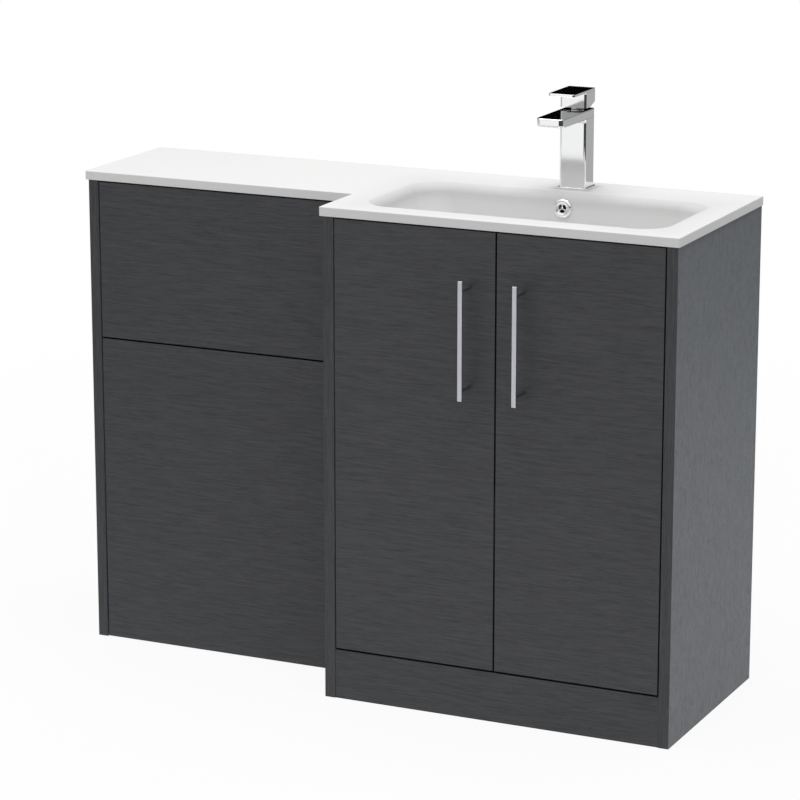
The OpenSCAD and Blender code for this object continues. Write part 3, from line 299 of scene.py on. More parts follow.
def makeResin():  # gel coat with painted shade: shaded places keep a share of its brightness, near two boxes (a painted contact shadow round the mixer's flange and a painted shade round the bowl) and as painted into the mesh
    material, tree, shader = startMaterial("whiteResin", {"Specular IOR Level": resin["specular"]})
    share = addNode(tree, "ShaderNodeAttribute", attribute_name="resinShare").outputs["Fac"]
    for place in (resin["flange"], resin["bowl"]):
        share = multiply(tree, share, useGroup(tree, nearShade, place)["Share"])
    color, cloud = [mixColor(tree, share, (0, 0, 0), resin[key]) for key in ("color", "cloud")]
    out = useGroup(tree, surfaceLife, {
        "Color": color, "Cloud": cloud, "Cloud Amount": resin["amount"], "Cloud Scale": resin["scale"],
        "Gloss": resin["gloss"], "Gloss Change": resin["change"], "Fine Scale": resin["fine"]})
    finishMaterial(tree, shader, out["Color"], out["Roughness"], out["Height"], resin["bump"])
    return material


finishes = {
    "board_front": makeWood("charcoalGrainAcross", (20, 560, 560)),
    # side boards have a lighter base than the fronts: painted light for the sheen their faces catch at a slant; the
    # upright grain is their own
    "board_side": makeWood("charcoalGrainUpright", (300, 300, 75), base=(0.0415, 0.0422, 0.0447),
                           pore=(0.016, 0.0163, 0.0175), streak=(0.073, 0.0745, 0.0785), poreAmount=0.85,
                           streakAmount=0.8),
    "board_inner": makeWood("charcoalInside", (16, 420, 420), streakAmount=0.3, gloss=0.55),
    "resin": makeResin(),
    "chrome": makePlain("polishedChrome", color=(0.90, 0.903, 0.906), cloud=(0.85, 0.855, 0.86), gloss=0.085,
                        amount=0.2, cloudScale=30, fine=300, change=0.02, bump=0.000002, metallic=1.0),
    "handle_metal": makeBrushedMetal("satinHandle", (900, 900, 25), color=(0.61, 0.606, 0.66),
                                     dark=(0.48, 0.48, 0.52), gloss=0.3),
    "hinge_steel": makeBrushedMetal("nickelPlate", (60, 700, 700), color=(0.62, 0.61, 0.59),
                                    dark=(0.42, 0.41, 0.40), gloss=0.24),
    "zinc_steel": makePlain("zincPlate", color=(0.55, 0.57, 0.60), cloud=(0.42, 0.44, 0.50), gloss=0.34,
                            amount=0.6, cloudScale=70, fine=900, change=0.2, metallic=1.0),
    "white_plastic": makePlain("whiteMoulding", color=(0.80, 0.80, 0.79), cloud=(0.74, 0.73, 0.70), gloss=0.26,
                               amount=0.4, cloudScale=25, fine=1500, bump=0.00002),
    "clip_plastic": makePlain("clipNylon", color=(0.70, 0.70, 0.67), cloud=(0.6, 0.59, 0.55), gloss=0.5,
                              amount=0.4, cloudScale=60, fine=1800),
    "seal_rubber": makePlain("softRubber", color=(0.028, 0.028, 0.03), cloud=(0.05, 0.05, 0.052), gloss=0.75,
                             amount=0.5, cloudScale=80, fine=2500, bump=0.00006),
    "brass": makePlain("turnedBrass", color=(0.50, 0.41, 0.25), cloud=(0.36, 0.28, 0.16), gloss=0.34,
                       amount=0.5, cloudScale=60, fine=1200, change=0.2, metallic=1.0),
    "cartridge_plastic": makePlain("redMoulding", color=(0.42, 0.05, 0.04), cloud=(0.3, 0.03, 0.03), gloss=0.45,
                                   amount=0.3, cloudScale=50, fine=1500),
    "aerator_plastic": makePlain("greyMoulding", color=(0.3, 0.31, 0.33), cloud=(0.2, 0.2, 0.22), gloss=0.5,
                                 amount=0.4, cloudScale=90, fine=2000),
}
print("finishes made:", len(finishes))

slotOf = {s["node"]: s["material_slot"] for s in frame["record"]["subparts"]}
bodyOf = {n: b for b, members in frame["record"]["behaviour"]["bodies"].items() for n in members}


def gridFaces(rows, cols):  # quads of a grid that closes along its columns; point number is row * cols + col
    i, j = np.arange(rows - 1)[:, None], np.arange(cols)[None, :]
    a, b = i * cols + j, i * cols + (j + 1) % cols
    return np.stack([a, b, b + cols, a + cols], -1).reshape(-1, 4)


def endCaps(rows, cols):  # the first and the last row of such a grid as faces
    return [range(cols - 1, -1, -1), range((rows - 1) * cols, rows * cols)]


def placed(parts):  # parts in millimetres from the left wall corner
    return [(inFrame(grid), faces, caps) for grid, faces, caps in parts]


sharpAngle = 40  # degrees between two faces


def smoothTo(mesh, angle=sharpAngle):
    mesh.shade_smooth()
    mesh.set_sharp_from_angle(angle=math.radians(angle))


mergeSteps = 1e7  # points are rounded to this many steps in a metre, and then doubles are one


def meshFrom(name, parts, finish, angle=sharpAngle):
    # parts: (points, faces, caps); a quad that lost a corner to merging becomes a triangle
    points, quads, caps, start = [], [], [], 0
    for grid, faces, ends in parts:
        flat = np.asarray(grid, float).reshape(-1, 3)
        points.append(flat)
        quads.append(np.asarray(faces)[:, [0, 1, 2, -1]] + start)
        caps += [np.asarray(cap) + start for cap in ends]
        start += len(flat)
    steps = np.round(np.vstack(points) * mergeSteps).astype(np.int64)
    keys, back = np.unique(steps, axis=0, return_inverse=True)
    back = back.ravel()
    loops = back[np.vstack(quads)]
    double = loops == np.roll(loops, 1, axis=1)
    count = double.sum(1)
    three = count == 1
    faces = loops[count == 0].tolist() + loops[three][~double[three]].reshape(-1, 3).tolist()
    faces += [back[cap][back[cap] != back[np.roll(cap, 1)]].tolist() for cap in caps]
    mesh = bpy.data.meshes.new(name)
    mesh.from_pydata((keys / mergeSteps).tolist(), [], faces)
    mesh.update()
    smoothTo(mesh, angle)
    mesh.materials.append(finishes[finish])
    return addObject(name, mesh)


def readVectors(items, key):  # a row of three numbers for each vertex or face
    values = np.zeros(len(items) * 3)
    items.foreach_get(key, values)
    return values.reshape(-1, 3)


def paint(mesh, name, values):
    mesh.attributes.new(name, "FLOAT", "POINT").data.foreach_set("value", values.astype(np.float32))


maskGain = 1.4  # the mask is full over most of a rounding


# the edge mask places the painted highlight on rounded edges
def paintEdges(mesh, lo, hi, r):
    # for each axis t = 1 - distance to the nearer face / r; the mask is the second largest t
    points = readVectors(mesh.vertices, "co")
    near = np.minimum(np.abs(points - np.asarray(lo)), np.abs(points - np.asarray(hi)))
    share = np.sort(np.clip(1 - near / r, 0, 1), axis=1)[:, 1]
    paint(mesh, "edgeMask", np.clip(maskGain * share, 0, 1))


def weighNormals(piece):  # large flat faces keep their own normal beside small rounded edges
    change = piece.modifiers.new("flatFaces", "WEIGHTED_NORMAL")
    change.keep_sharp = True
    change.weight = 100


def applyModifiers(piece):
    bpy.context.view_layer.update()
    solved = bpy.data.meshes.new_from_object(piece.evaluated_get(bpy.context.evaluated_depsgraph_get()))
    piece.modifiers.clear()
    old, piece.data = piece.data, solved
    bpy.data.meshes.remove(old)


def combine(piece, tool, operation="DIFFERENCE"):
    change = piece.modifiers.new("combined", "BOOLEAN")
    change.object = tool
    change.operation = operation
    change.solver = "EXACT"
    applyModifiers(piece)
    bpy.data.objects.remove(tool)
    smoothTo(piece.data)


done = set()


def standFor(piece, node):  # takes a CAD node's place and body
    done.add(node)
    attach(piece, bodyOf[node])
    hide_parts(node)


def roundedBox(lo, hi, r, steps):
    # every point is an inner corner plus r times the unit direction of two angles, latitude and longitude
    lo, hi = np.array(lo, float), np.array(hi, float)
    turn = np.linspace(0, math.pi / 2, steps + 1)
    around = (turn[None, :] + np.arange(4)[:, None] * math.pi / 2).ravel()
    latitude = np.concatenate([turn - math.pi / 2, turn])
    lat, lon = np.meshgrid(latitude, around, indexing="ij")
    unit = np.stack([np.cos(lat) * np.cos(lon), np.cos(lat) * np.sin(lon), np.sin(lat)], -1)
    signX = np.repeat([1, -1, -1, 1], steps + 1)[None, :]
    signY = np.repeat([1, 1, -1, -1], steps + 1)[None, :]
    signZ = np.repeat([-1, 1], steps + 1)[:, None]
    half, middle = (hi - lo) / 2 - r, (hi + lo) / 2
    inner = np.stack(np.broadcast_arrays(signX * half[0], signY * half[1], signZ * half[2]), -1) + middle
    grid = inner + r * unit
    return grid, gridFaces(*grid.shape[:2]), endCaps(*grid.shape[:2])


def lathe(profile, at, axis, steps):
    # profile rows are (radius, height); each is carried round the Z or Y axis through at
    profile = np.array(profile, float)
    turn = np.arange(steps) * 2 * math.pi / steps
    ringX, ringY = [profile[:, :1] * wave(turn)[None, :] for wave in (np.cos, np.sin)]
    height = np.broadcast_to(profile[:, 1:2], ringX.shape)
    grid = np.stack((ringX, ringY, height) if axis == "Z" else (ringY, height, ringX), -1) + np.array(at, float)
    caps = [cap for cap, r in zip(endCaps(len(profile), steps), profile[[0, -1], 0]) if r > 0]
    return grid, gridFaces(len(profile), steps), caps


def ringPoints(x0, x1, y0, y1, r, z, steps, backR=None):
    # rounded rectangle: corner centre plus radius times (cos a, sin a), anticlockwise from the right back corner
    a = np.radians(np.linspace(0, 90, steps + 1)[None, :] + 90 * np.arange(4)[:, None])
    backR = r if backR is None else backR
    radius = np.array([backR, backR, r, r])[:, None]
    cx = np.array([x1, x0, x0, x1])[:, None] + np.array([-1, 1, 1, -1])[:, None] * radius
    cy = np.array([y1, y1, y0, y0])[:, None] + np.array([-1, -1, 1, 1])[:, None] * radius
    level = np.full(a.shape, float(z))
    return np.stack([cx + radius * np.cos(a), cy + radius * np.sin(a), level], -1).reshape(-1, 3)


def quarter(steps):  # pairs (1 - cos a, sin a) for a from 0 to 90 degrees
    a = np.linspace(0, math.pi / 2, steps + 1)
    return np.stack([1 - np.cos(a), np.sin(a)], 1)


# radii in metres by kind of piece; flat is the angle in degrees below which two faces are one
board = dict(edge=0.0005, inner=0.0004, metal=0.0002, plastic=0.0003, steps=3, merge=1e-6, flat=1, across=0.7)
# darker copies of the wood for edge faces: painted shade, darkest on the door edges in the gaps between boards
shadedBands = {
    "board_front": makeWood("frontBanding", (20, 560, 560), base=(0.018, 0.018, 0.019), pore=(0.009, 0.009, 0.01),
                            streak=(0.03, 0.031, 0.032), gloss=0.65, sheen=0.0),
    "board_side": makeWood("sideBanding", (560, 560, 20), base=(0.031, 0.031, 0.033))}


def softCopy(node, name, r):
    # a merged copy of the CAD node; each edge becomes a quarter round of radius r
    mesh = nodes[node].data.copy()
    work = bmesh.new()
    work.from_mesh(mesh)
    bmesh.ops.remove_doubles(work, verts=work.verts, dist=board["merge"])
    flat = math.radians(board["flat"])
    bmesh.ops.dissolve_limit(work, angle_limit=flat, verts=work.verts, edges=work.edges)
    work.to_mesh(mesh)
    work.free()
    piece = addObject(name, mesh)
    mesh.materials.clear()
    mesh.materials.append(finishes[slotOf[node]])
    change = piece.modifiers.new("edges", "BEVEL")
    change.width = r
    change.segments = board["steps"]
    change.limit_method = "ANGLE"
    change.angle_limit = math.radians(sharpAngle)
    applyModifiers(piece)
    smoothTo(piece.data)
    lo, hi = [np.array(corner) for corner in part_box(node)]
    paintEdges(piece.data, lo, hi, r)
    # edge faces of front and side boards get the painted shade banding
    if slotOf[node] in shadedBands:
        paintBandShade(piece.data, int(np.argmin(hi - lo)), shadedBands[slotOf[node]])
    weighNormals(piece)
    standFor(piece, node)


def paintBandShade(mesh, axis, finish):  # painted shade: faces that look along the board are edge banding, in a darker copy of the wood
    mesh.materials.append(finish)
    along = np.abs(readVectors(mesh.polygons, "normal")[:, axis]) < board["across"]
    mesh.polygons.foreach_set("material_index", along.astype(np.int32))


boards = {
    "wc_side_left": "toiletSideLeft", "wc_side_right": "toiletSideRight", "wc_front_lower": "toiletFrontLower",
    "wc_access_panel": "toiletFrontUpper", "vanity_side_left": "vanitySideLeft",
    "vanity_side_right": "vanitySideRight", "plinth": "plinthBoard", "door_left": "doorLeft",
    "door_right": "doorRight", "shelf": "shelfBoard", "vanity_base": "vanityFloor"}
for node, name in boards.items():
    softCopy(node, name, board["inner"] if slotOf[node] == "board_inner" else board["edge"])
print("boards rounded:", len(boards))


# millimetres from the left wall corner; topEdge and lowEdge are (radius, steps), tapHole is (radius, sides)
basin = dict(
    left=-6, right=1102, frontToilet=-260.5, frontVanity=-384.5, innerX=493.5, corner=3, cornerSteps=5, top=817,
    thick=15, topEdge=(1.4, 5), lowEdge=(0.6, 3), bowlX=(540, 1060), bowlY=(-342, -96), rim=16, rimFront=2,
    side=24, back=6, front=16, bowlCorner=52, wallCorner=48, wallHeight=81, foot=24, footThin=0.3, deep=110,
    frontStart=0.08, bow=1.3, wall=7, floor=8, ringSteps=16, wallSteps=12, footSteps=12, rimSteps=10, sharp=35,
    wasteAt=(800, -215), seat=33, seatEdge=0.5, seatFlat=7, seatDrop=1.5, squareCorner=0.8, wasteHole=23,
    ductWall=4, ductDeep=9, ductWide=36, ductLap=(1, 2), gap=0.01, tapAt=(800, -55.5), tapHole=(17.5, 48),
    overflow=(11, 792), overflowLean=0.0663, overflowSteps=48,
    # painted shade at the back rim, in the bowl by depth and in the duct
    shade=dict(wide=8, wideFront=0.5, edge=0.97, front=60, depth=(0, 0.5, 10, 30), share=(0.98, 0.85, 0.87, 0.985),
               duct=0.06, margin=0.5, wallMargin=2))
basin["frontRim"] = basin["rimFront"] + basin["front"] * basin["frontStart"]
basin["under"] = basin["top"] - basin["deep"] - basin["floor"]
basin["wallY"] = basin["bowlY"][1] - basin["rim"] - (  # the sloped back wall at the height of the overflow
    basin["top"] - basin["overflow"][1] - basin["rim"]) * basin["overflowLean"]


def insetOutline(outline, amount):
    # moves each corner of a closed outline inwards along its mitre; amount is per row
    before, after = np.roll(outline, 1, 0), np.roll(outline, -1, 0)
    into, out = outline - before, after - outline
    into /= np.linalg.norm(into, axis=1)[:, None]
    out /= np.linalg.norm(out, axis=1)[:, None]
    left = lambda v: np.stack([-v[:, 1], v[:, 0]], 1)
    mitre = left(into) + left(out)
    mitre /= (1 + (into * out).sum(1))[:, None]
    return outline[None] + np.asarray(amount)[:, None, None] * mitre[None]


def outlineCorner(x, y, start):
    a = np.radians(np.linspace(start, start + 90, basin["cornerSteps"] + 1))
    return np.stack([x + basin["corner"] * np.cos(a), y + basin["corner"] * np.sin(a)], 1)


def bowlRing(side, back, front, r, depth, grow=0.0):
    b = basin
    return ringPoints(b["bowlX"][0] + side - grow, b["bowlX"][1] - side + grow, b["bowlY"][0] + front - grow,
                      b["bowlY"][1] - back + grow, r + grow, b["top"] - depth, b["ringSteps"])


def wallRings(grow):  # share f = (i / n) ** bow of each wall's slope at depth rim + i / n of the wall
    b = basin
    rows = []
    for i in range(1, b["wallSteps"] + 1):
        f = (i / b["wallSteps"]) ** b["bow"]
        rows.append(bowlRing(b["rim"] + b["side"] * f, b["rim"] + b["back"] * f,
                             b["rimFront"] + b["front"] * (b["frontStart"] + (1 - b["frontStart"]) * f),
                             b["wallCorner"], b["rim"] + (b["wallHeight"] - b["rim"]) * i / b["wallSteps"], grow))
    return rows


def footRings(grow):  # quarter arc of the foot's radius: inset by r (1 - cos a), lower by r sin a
    b = basin
    return [bowlRing(b["rim"] + b["side"] + b["foot"] * c, b["rim"] + b["back"] + b["foot"] * c,
                     b["rimFront"] + b["front"] + b["foot"] * c, b["wallCorner"],
                     b["wallHeight"] + (b["foot"] + grow) * s, grow * (1 - b["footThin"] * s))
            for c, s in quarter(b["footSteps"])[1:]]


def rimRings():  # quarter arc of the rim's radius: inset by r sin a, lower by r (1 - cos a)
    b = basin
    return [bowlRing(b["rim"] * s, b["rim"] * s, b["frontRim"] * s,
                     b["bowlCorner"] + (b["wallCorner"] - b["bowlCorner"]) * s, b["rim"] * c)
            for c, s in quarter(b["rimSteps"])]


def roundWaste(like, r, z):  # a circle whose points lie in the same directions as those of a ring
    centre = np.array(basin["wasteAt"], float)
    way = like[:, :2] - centre
    way /= np.linalg.norm(way, axis=1)[:, None]
    return np.column_stack([centre + r * way, np.full(len(way), float(z))])


def flatWithHoles(loops, z, up=True, leastArea=1e-9):  # a flat face inside the first loop and outside the others
    flat = [np.asarray(loop)[:, :2] for loop in loops]
    tri = np.array(tessellate_polygon([[Vector((*p, 0)) for p in loop] for loop in flat]))
    every = np.vstack(flat)
    a, b, c = every[tri[:, 0]], every[tri[:, 1]], every[tri[:, 2]]
    area = (b[:, 0] - a[:, 0]) * (c[:, 1] - a[:, 1]) - (b[:, 1] - a[:, 1]) * (c[:, 0] - a[:, 0])
    turned = (area > 0) != up
    tri[turned] = tri[turned][:, ::-1]
    return np.column_stack([every, np.full(len(every), float(z))]), tri[np.abs(area) > leastArea], []


def makeBasin():
    b = basin
    low, r = b["top"] - b["thick"], b["corner"]
    outline = np.vstack([
        [[b["left"], 0]], outlineCorner(b["left"] + r, b["frontToilet"] + r, 180),
        [[b["innerX"], b["frontToilet"]]], outlineCorner(b["innerX"] + r, b["frontVanity"] + r, 180),
        outlineCorner(b["right"] - r, b["frontVanity"] + r, 270), [[b["right"], 0]]])
    amount, height = [], []
    for (edge, steps), z, way in ((b["lowEdge"], low, 1), (b["topEdge"], b["top"], -1)):
        pairs = quarter(steps)[::way]
        amount += [edge * (1 - s) for c, s in pairs]
        height += [z + way * edge * c for c, s in pairs]
    band = insetOutline(outline, amount)
    band = np.concatenate([band, np.broadcast_to(np.array(height)[:, None, None], band.shape[:2] + (1,))], 2)
    wide, floorZ, under = b["shade"]["wide"], b["top"] - b["deep"], b["under"]
    rim = [bowlRing(-wide, -wide, -b["shade"]["wideFront"], b["bowlCorner"] + wide, 0)] + rimRings()
    wx, wy = b["wasteAt"]
    half, ductSide, ductLow = b["seat"] + b["seatFlat"], b["seat"] + b["ductWall"], under - b["ductDeep"]
    square = lambda r, z: ringPoints(wx - r, wx + r, wy - r, wy + r, b["squareCorner"] * r, z, b["ringSteps"])
    plain = square(half, floorZ)
    rows = rim + wallRings(0) + footRings(0) + [plain]
    rows += [roundWaste(plain, r, z) for r, z in (
        (b["seat"] + b["seatEdge"], floorZ), (b["seat"], floorZ - b["seatEdge"]),
        (b["seat"], floorZ - b["seatDrop"]), (b["wasteHole"], floorZ - b["seatDrop"]), (b["wasteHole"], ductLow),
        (ductSide, ductLow), (ductSide, under))]
    rows += [square(half + b["wall"], under)] + footRings(b["wall"])[::-1] + wallRings(b["wall"])[::-1]
    rows.append(bowlRing(b["rim"], b["rim"], b["frontRim"], b["wallCorner"], b["thick"], b["wall"]))
    skin = np.stack(rows)
    hole, sides = b["tapHole"]
    turn = np.linspace(0, 2 * math.pi, sides + 1)[:-1]
    tapRing = np.stack([b["tapAt"][0] + hole * np.cos(turn), b["tapAt"][1] + hole * np.sin(turn)], 1)
    tapWall = np.stack([np.column_stack([tapRing, np.full(sides, z)]) for z in (b["top"], low)])
    parts = [(grid, gridFaces(*grid.shape[:2]), []) for grid in (band, skin, tapWall)]
    parts.append(flatWithHoles([band[-1], skin[0], tapRing], b["top"]))
    parts.append(flatWithHoles([band[0], skin[-1], tapRing], low, False))
    return meshFrom("basinWorktop", placed(parts), "resin", b["sharp"])


toolBox = dict(r=0.4, steps=1)


def addBox(piece, lo, hi, operation):
    box = placed([roundedBox(lo, hi, toolBox["r"], toolBox["steps"])])
    combine(piece, meshFrom("cutter", box, "resin"), operation)


def cutBasin(piece):  # the duct behind the back wall joins the overflow to the waste
    b = basin
    r, z = b["overflow"]
    wx, wy = b["wasteAt"]
    wallY, under, low = b["wallY"], b["under"], b["under"] - b["ductDeep"]
    half, inner = b["ductWide"] / 2, b["ductWide"] / 2 - b["ductWall"]
    inside = wallY + b["wall"] + b["ductDeep"]
    back, floor = inside + b["ductWall"], low + b["ductWall"]
    lapWall, lapFloor = b["ductLap"]
    addBox(piece, (wx - half, wallY + lapWall, under), (wx + half, back, b["top"] - b["thick"] - b["gap"]), "UNION")
    addBox(piece, (wx - half, wy, low), (wx + half, back, under + lapFloor), "UNION")
    addBox(piece, (wx - inner, wallY + b["wall"], floor), (wx + inner, inside, z + r), "DIFFERENCE")
    addBox(piece, (wx - inner, wy, floor), (wx + inner, inside, under - b["gap"]), "DIFFERENCE")
    hole = lathe([(r, -b["wall"]), (r, b["wall"])], (0, 0, 0), "Y", b["overflowSteps"])
    tool = meshFrom("cutter", [hole], "resin")
    spin = Matrix.Rotation(-math.atan(b["overflowLean"]), 4, "X")
    tool.data.transform(Matrix.Translation(Vector(inFrame((wx, wallY, z)))) @ spin @ Matrix.Scale(0.001, 4))
    combine(piece, tool)


def paintBowl(mesh):
    # painted shade: the share is 1 on the worktop, falls just outside the rim, and follows the depth inside; the
    # duct is dark
    b, k = basin, basin["shade"]
    points = (readVectors(mesh.vertices, "co") - shift) * 1000
    x, y, z = points.T
    lo, hi = np.array([b["bowlX"][0], b["bowlY"][0]]), np.array([b["bowlX"][1], b["bowlY"][1]])
    over = np.abs(points[:, :2] - (lo + hi) / 2) - (hi - lo) / 2 + b["bowlCorner"]
    away = np.linalg.norm(np.maximum(over, 0), axis=1) - b["bowlCorner"]
    back = np.clip((y - b["bowlY"][0]) / k["front"], 0, 1)
    edge = 1 - (1 - k["edge"]) * back * np.clip(1 - away / k["wide"], 0, 1)
    inBowl = (away < b["gap"]) & (z <= b["top"] - b["gap"])
    share = np.where(inBowl, np.minimum(edge, np.interp(b["top"] - z, k["depth"], k["share"])), edge)
    reach, margin = b["ductWide"] / 2 - b["ductWall"], k["margin"]
    inDuct = (np.abs(x - b["tapAt"][0]) < reach + margin) & (z < sum(b["overflow"]) + margin) & (
        y > b["wallY"] + k["wallMargin"]) & (y < b["wallY"] + b["wall"] + b["ductDeep"] + margin)
    # painted shade: the inside of the duct is dark
    share[inDuct] = k["duct"]
    paint(mesh, "resinShare", share)


basinPiece = makeBasin()
cutBasin(basinPiece)
paintBowl(basinPiece.data)
weighNormals(basinPiece)
standFor(basinPiece, "basin_top")
print("basin made:", len(basinPiece.data.polygons), "faces")


# flange: width, depth, height, corner; aerator: width, depth, height, distance; bore: radius, depth, lap, sides
tap = dict(
    at=(800, -55.5), wide=46, deep=39, corner=4.6, backCorner=1, cornerSteps=10, sharp=35, bodyZ=820, bodyTop=947,
    reach=120, spout=14, spoutCorner=8, noseLow=4.5, noseTop=2, noseSteps=8, fillet=7, edge=0.7, blockZ=951,
    blockTop=980, leverReach=70, plate=4, backCut=(20, 7), leverEdge=0.5, leverSteps=5, neck=3,
    flange=(51, 44, 3, 5), flangeEdge=0.4, aerator=(26, 12, 5, -104), aeratorLap=3, bore=(15, 19, 2, 48))


def tapLevel(front, z, inset=0.0, back=None, corner=tap["corner"], backCorner=None):
    # one level of the mixer: a rectangle with rounded corners from its back to a reach in front of the axis
    x, y = tap["at"]
    half = tap["wide"] / 2 - inset
    back = tap["deep"] / 2 if back is None else back
    backCorner = corner if backCorner is None else backCorner
    return ringPoints(x - half, x + half, y - front + inset, y + back - inset, corner - inset, z,
                      tap["cornerSteps"], backCorner - inset)


def stackOf(name, node, rows):
    grid = np.stack(rows)
    part = (grid, gridFaces(*grid.shape[:2]), endCaps(*grid.shape[:2]))
    piece = meshFrom(name, placed([part]), "chrome", tap["sharp"])
    standFor(piece, node)
    return piece


def makeTapBody():
    t = tap
    half, top, e = t["deep"] / 2, t["bodyTop"], t["edge"]
    under, f, m, n = top - t["spout"], t["fillet"], t["noseLow"], t["noseTop"]
    turn = quarter(t["noseSteps"])
    corners = dict(corner=t["spoutCorner"], backCorner=t["corner"])
    rows = [tapLevel(half, t["bodyZ"])] + [tapLevel(half + f * c, under - f + f * s) for c, s in turn]
    # the nose: reach less r (1 - sin a) at height r (1 - cos a), and the spout's sides draw in by its edge
    for c, s in turn:
        inset = max(0.0, e - m * c)
        rows.append(tapLevel(t["reach"] - m * (1 - s) + inset, under + m * c, inset, half + inset, **corners))
    rows += [tapLevel(t["reach"] - n * c + e * c, top - n + n * s, e * c, **corners) for c, s in turn]
    piece = stackOf("mixerBody", "tap_body", rows)
    x, y = t["at"]
    wide, deep, tall, ahead = t["aerator"]
    addBox(piece, (x - wide / 2, y + ahead - deep / 2, under - t["aeratorLap"]),
           (x + wide / 2, y + ahead + deep / 2, under + tall), "DIFFERENCE")
    return piece


def makeLever():
    t = tap
    half, top, e, n = t["deep"] / 2, t["blockTop"], t["leverEdge"], t["neck"]
    under, turn, reach = top - t["plate"], quarter(t["leverSteps"]), t["leverReach"]
    alongCut, upCut = t["backCut"]
    corner = dict(backCorner=t["backCorner"])
    rows = [tapLevel(half, t["blockZ"], back=half - alongCut, **corner)]
    rows.append(tapLevel(half, t["blockZ"] + upCut, **corner))
    rows += [tapLevel(half + n * c, under - n + n * s, **corner) for c, s in turn]
    rows += [tapLevel(reach, under + e * c, e * (1 - s), half + e * (1 - s), **corner) for c, s in turn]
    rows += [tapLevel(reach, top - e + e * s, e * c, **corner) for c, s in turn]
    piece = stackOf("mixerLever", "tap_lever", rows)
    r, deep, lap, sides = t["bore"]
    hole = lathe([(r, -lap), (r, deep)], (*t["at"], t["blockZ"]), "Z", sides)
    combine(piece, meshFrom("cutter", placed([hole]), "chrome"))
    return piece


def makeFlange():
    t = tap
    x, y = t["at"]
    wide, deep, tall, r = t["flange"]
    e = t["flangeEdge"]
    ring = lambda inset, z: ringPoints(x - wide / 2 + inset, x + wide / 2 - inset, y - deep / 2 + inset,
                                       y + deep / 2 - inset, r - inset, z, t["cornerSteps"])
    rows = [ring(0, t["bodyZ"] - tall)]
    rows += [ring(e * c, t["bodyZ"] - e + e * s) for c, s in quarter(t["leverSteps"])]
    return stackOf("mixerFlange", "tap_flange", rows)


# ring, bulge, inner and hub are (radius, height) in the cover's own profile; slots: inner and outer radius;
# spigot: outer and inner radius, length
cover = dict(
    ring=(11.4, 0.2), bulge=(4.6, 4.3), until=96, bulgeSteps=21, inner=(7.6, 3.3), fall=0.25, plate=2.2,
    hub=(1.5, 0.6), hubFoot=0.5, hubSide=0.7, hubTop=0.6, spigot=(10.7, 8.5, 9), lift=0.3, sides=96, sharp=50,
    slots=(1.5, 7.2), slotCount=3, slotHalf=47, slotSteps=40, slotDepth=(2, -1), square=0.55, turn=30)


def makeCover():
    # a ring with an elliptic bulge round a plate with three slots, square to the sloped wall
    c, b = cover, basin
    a = np.radians(np.linspace(0, c["until"], c["bulgeSteps"] + 1))
    outer, inner, long = c["spigot"]
    (ring, base), (bulge, rise), (hub, hubRise), plate = c["ring"], c["bulge"], c["hub"], c["plate"]
    profile = [(0, 0), (inner, 0), (inner, -long), (outer, -long), (outer, 0), (ring + bulge, 0)]
    profile += list(zip(ring + bulge * np.cos(a), base + rise * np.sin(a)))
    profile += [c["inner"], (c["inner"][0] - c["fall"], plate), (hub + c["hubFoot"], plate),
                (hub, plate + c["hubSide"] * hubRise), (c["hubTop"] * hub, plate + hubRise), (0, plate + hubRise)]
    piece = meshFrom("overflowCover", [lathe(profile, (0, 0, 0), "Z", c["sides"])], "chrome", c["sharp"])
    # a slot is a rounded square carried into polar coordinates: powers of cos and sin give its angle and radius
    count = c["slotSteps"]
    t = np.linspace(0, 2 * math.pi, count + 1)[:-1]
    power = lambda v: np.sign(v) * np.abs(v) ** c["square"]
    low, high = c["slots"]
    radius = (low + high) / 2 + (high - low) / 2 * power(np.sin(t))
    for k in range(c["slotCount"]):
        middle = math.radians(c["turn"] + 360 / c["slotCount"] * k)
        way = middle + math.radians(c["slotHalf"]) * power(np.cos(t))
        slot = np.stack([radius * np.cos(way), radius * np.sin(way)], 1)
        up, down = c["slotDepth"]
        grid = np.stack([np.column_stack([slot, np.full(count, z)]) for z in (plate + up, down)])
        caps = [range(count), range(2 * count - 1, count - 1, -1)]
        combine(piece, meshFrom("cutter", [(grid, gridFaces(2, count), caps)], "chrome"))
    spin = Matrix.Rotation(math.pi / 2 - math.atan(b["overflowLean"]), 4, "X")
    place = Matrix.Translation(Vector(inFrame((b["tapAt"][0], b["wallY"], b["overflow"][1]))))
    piece.data.transform(place @ spin @ Matrix.Scale(0.001, 4) @ Matrix.Translation((0, 0, c["lift"])))
    standFor(piece, "overflow_cover")
    return piece


for piece in (makeTapBody(), makeLever(), makeFlange(), makeCover()):
    weighNormals(piece)
print("mixer and overflow cover made")


# bar: width and depth; lap is how far a post runs into it
handle = dict(bar=(8, 4), edge=0.8, edgeSteps=4, post=3, postSides=32, reach=80, lap=1, behind=0.01)
# the posts are coloured near the door's dark grey: painted shade of the bar over them and painted reflection of the
# dark door
darkPost = makePlain("darkPost", color=(0.062, 0.062, 0.064), cloud=(0.048, 0.048, 0.05), gloss=0.55, amount=0.5,
                     cloudScale=90, fine=2500, specular=0.2)


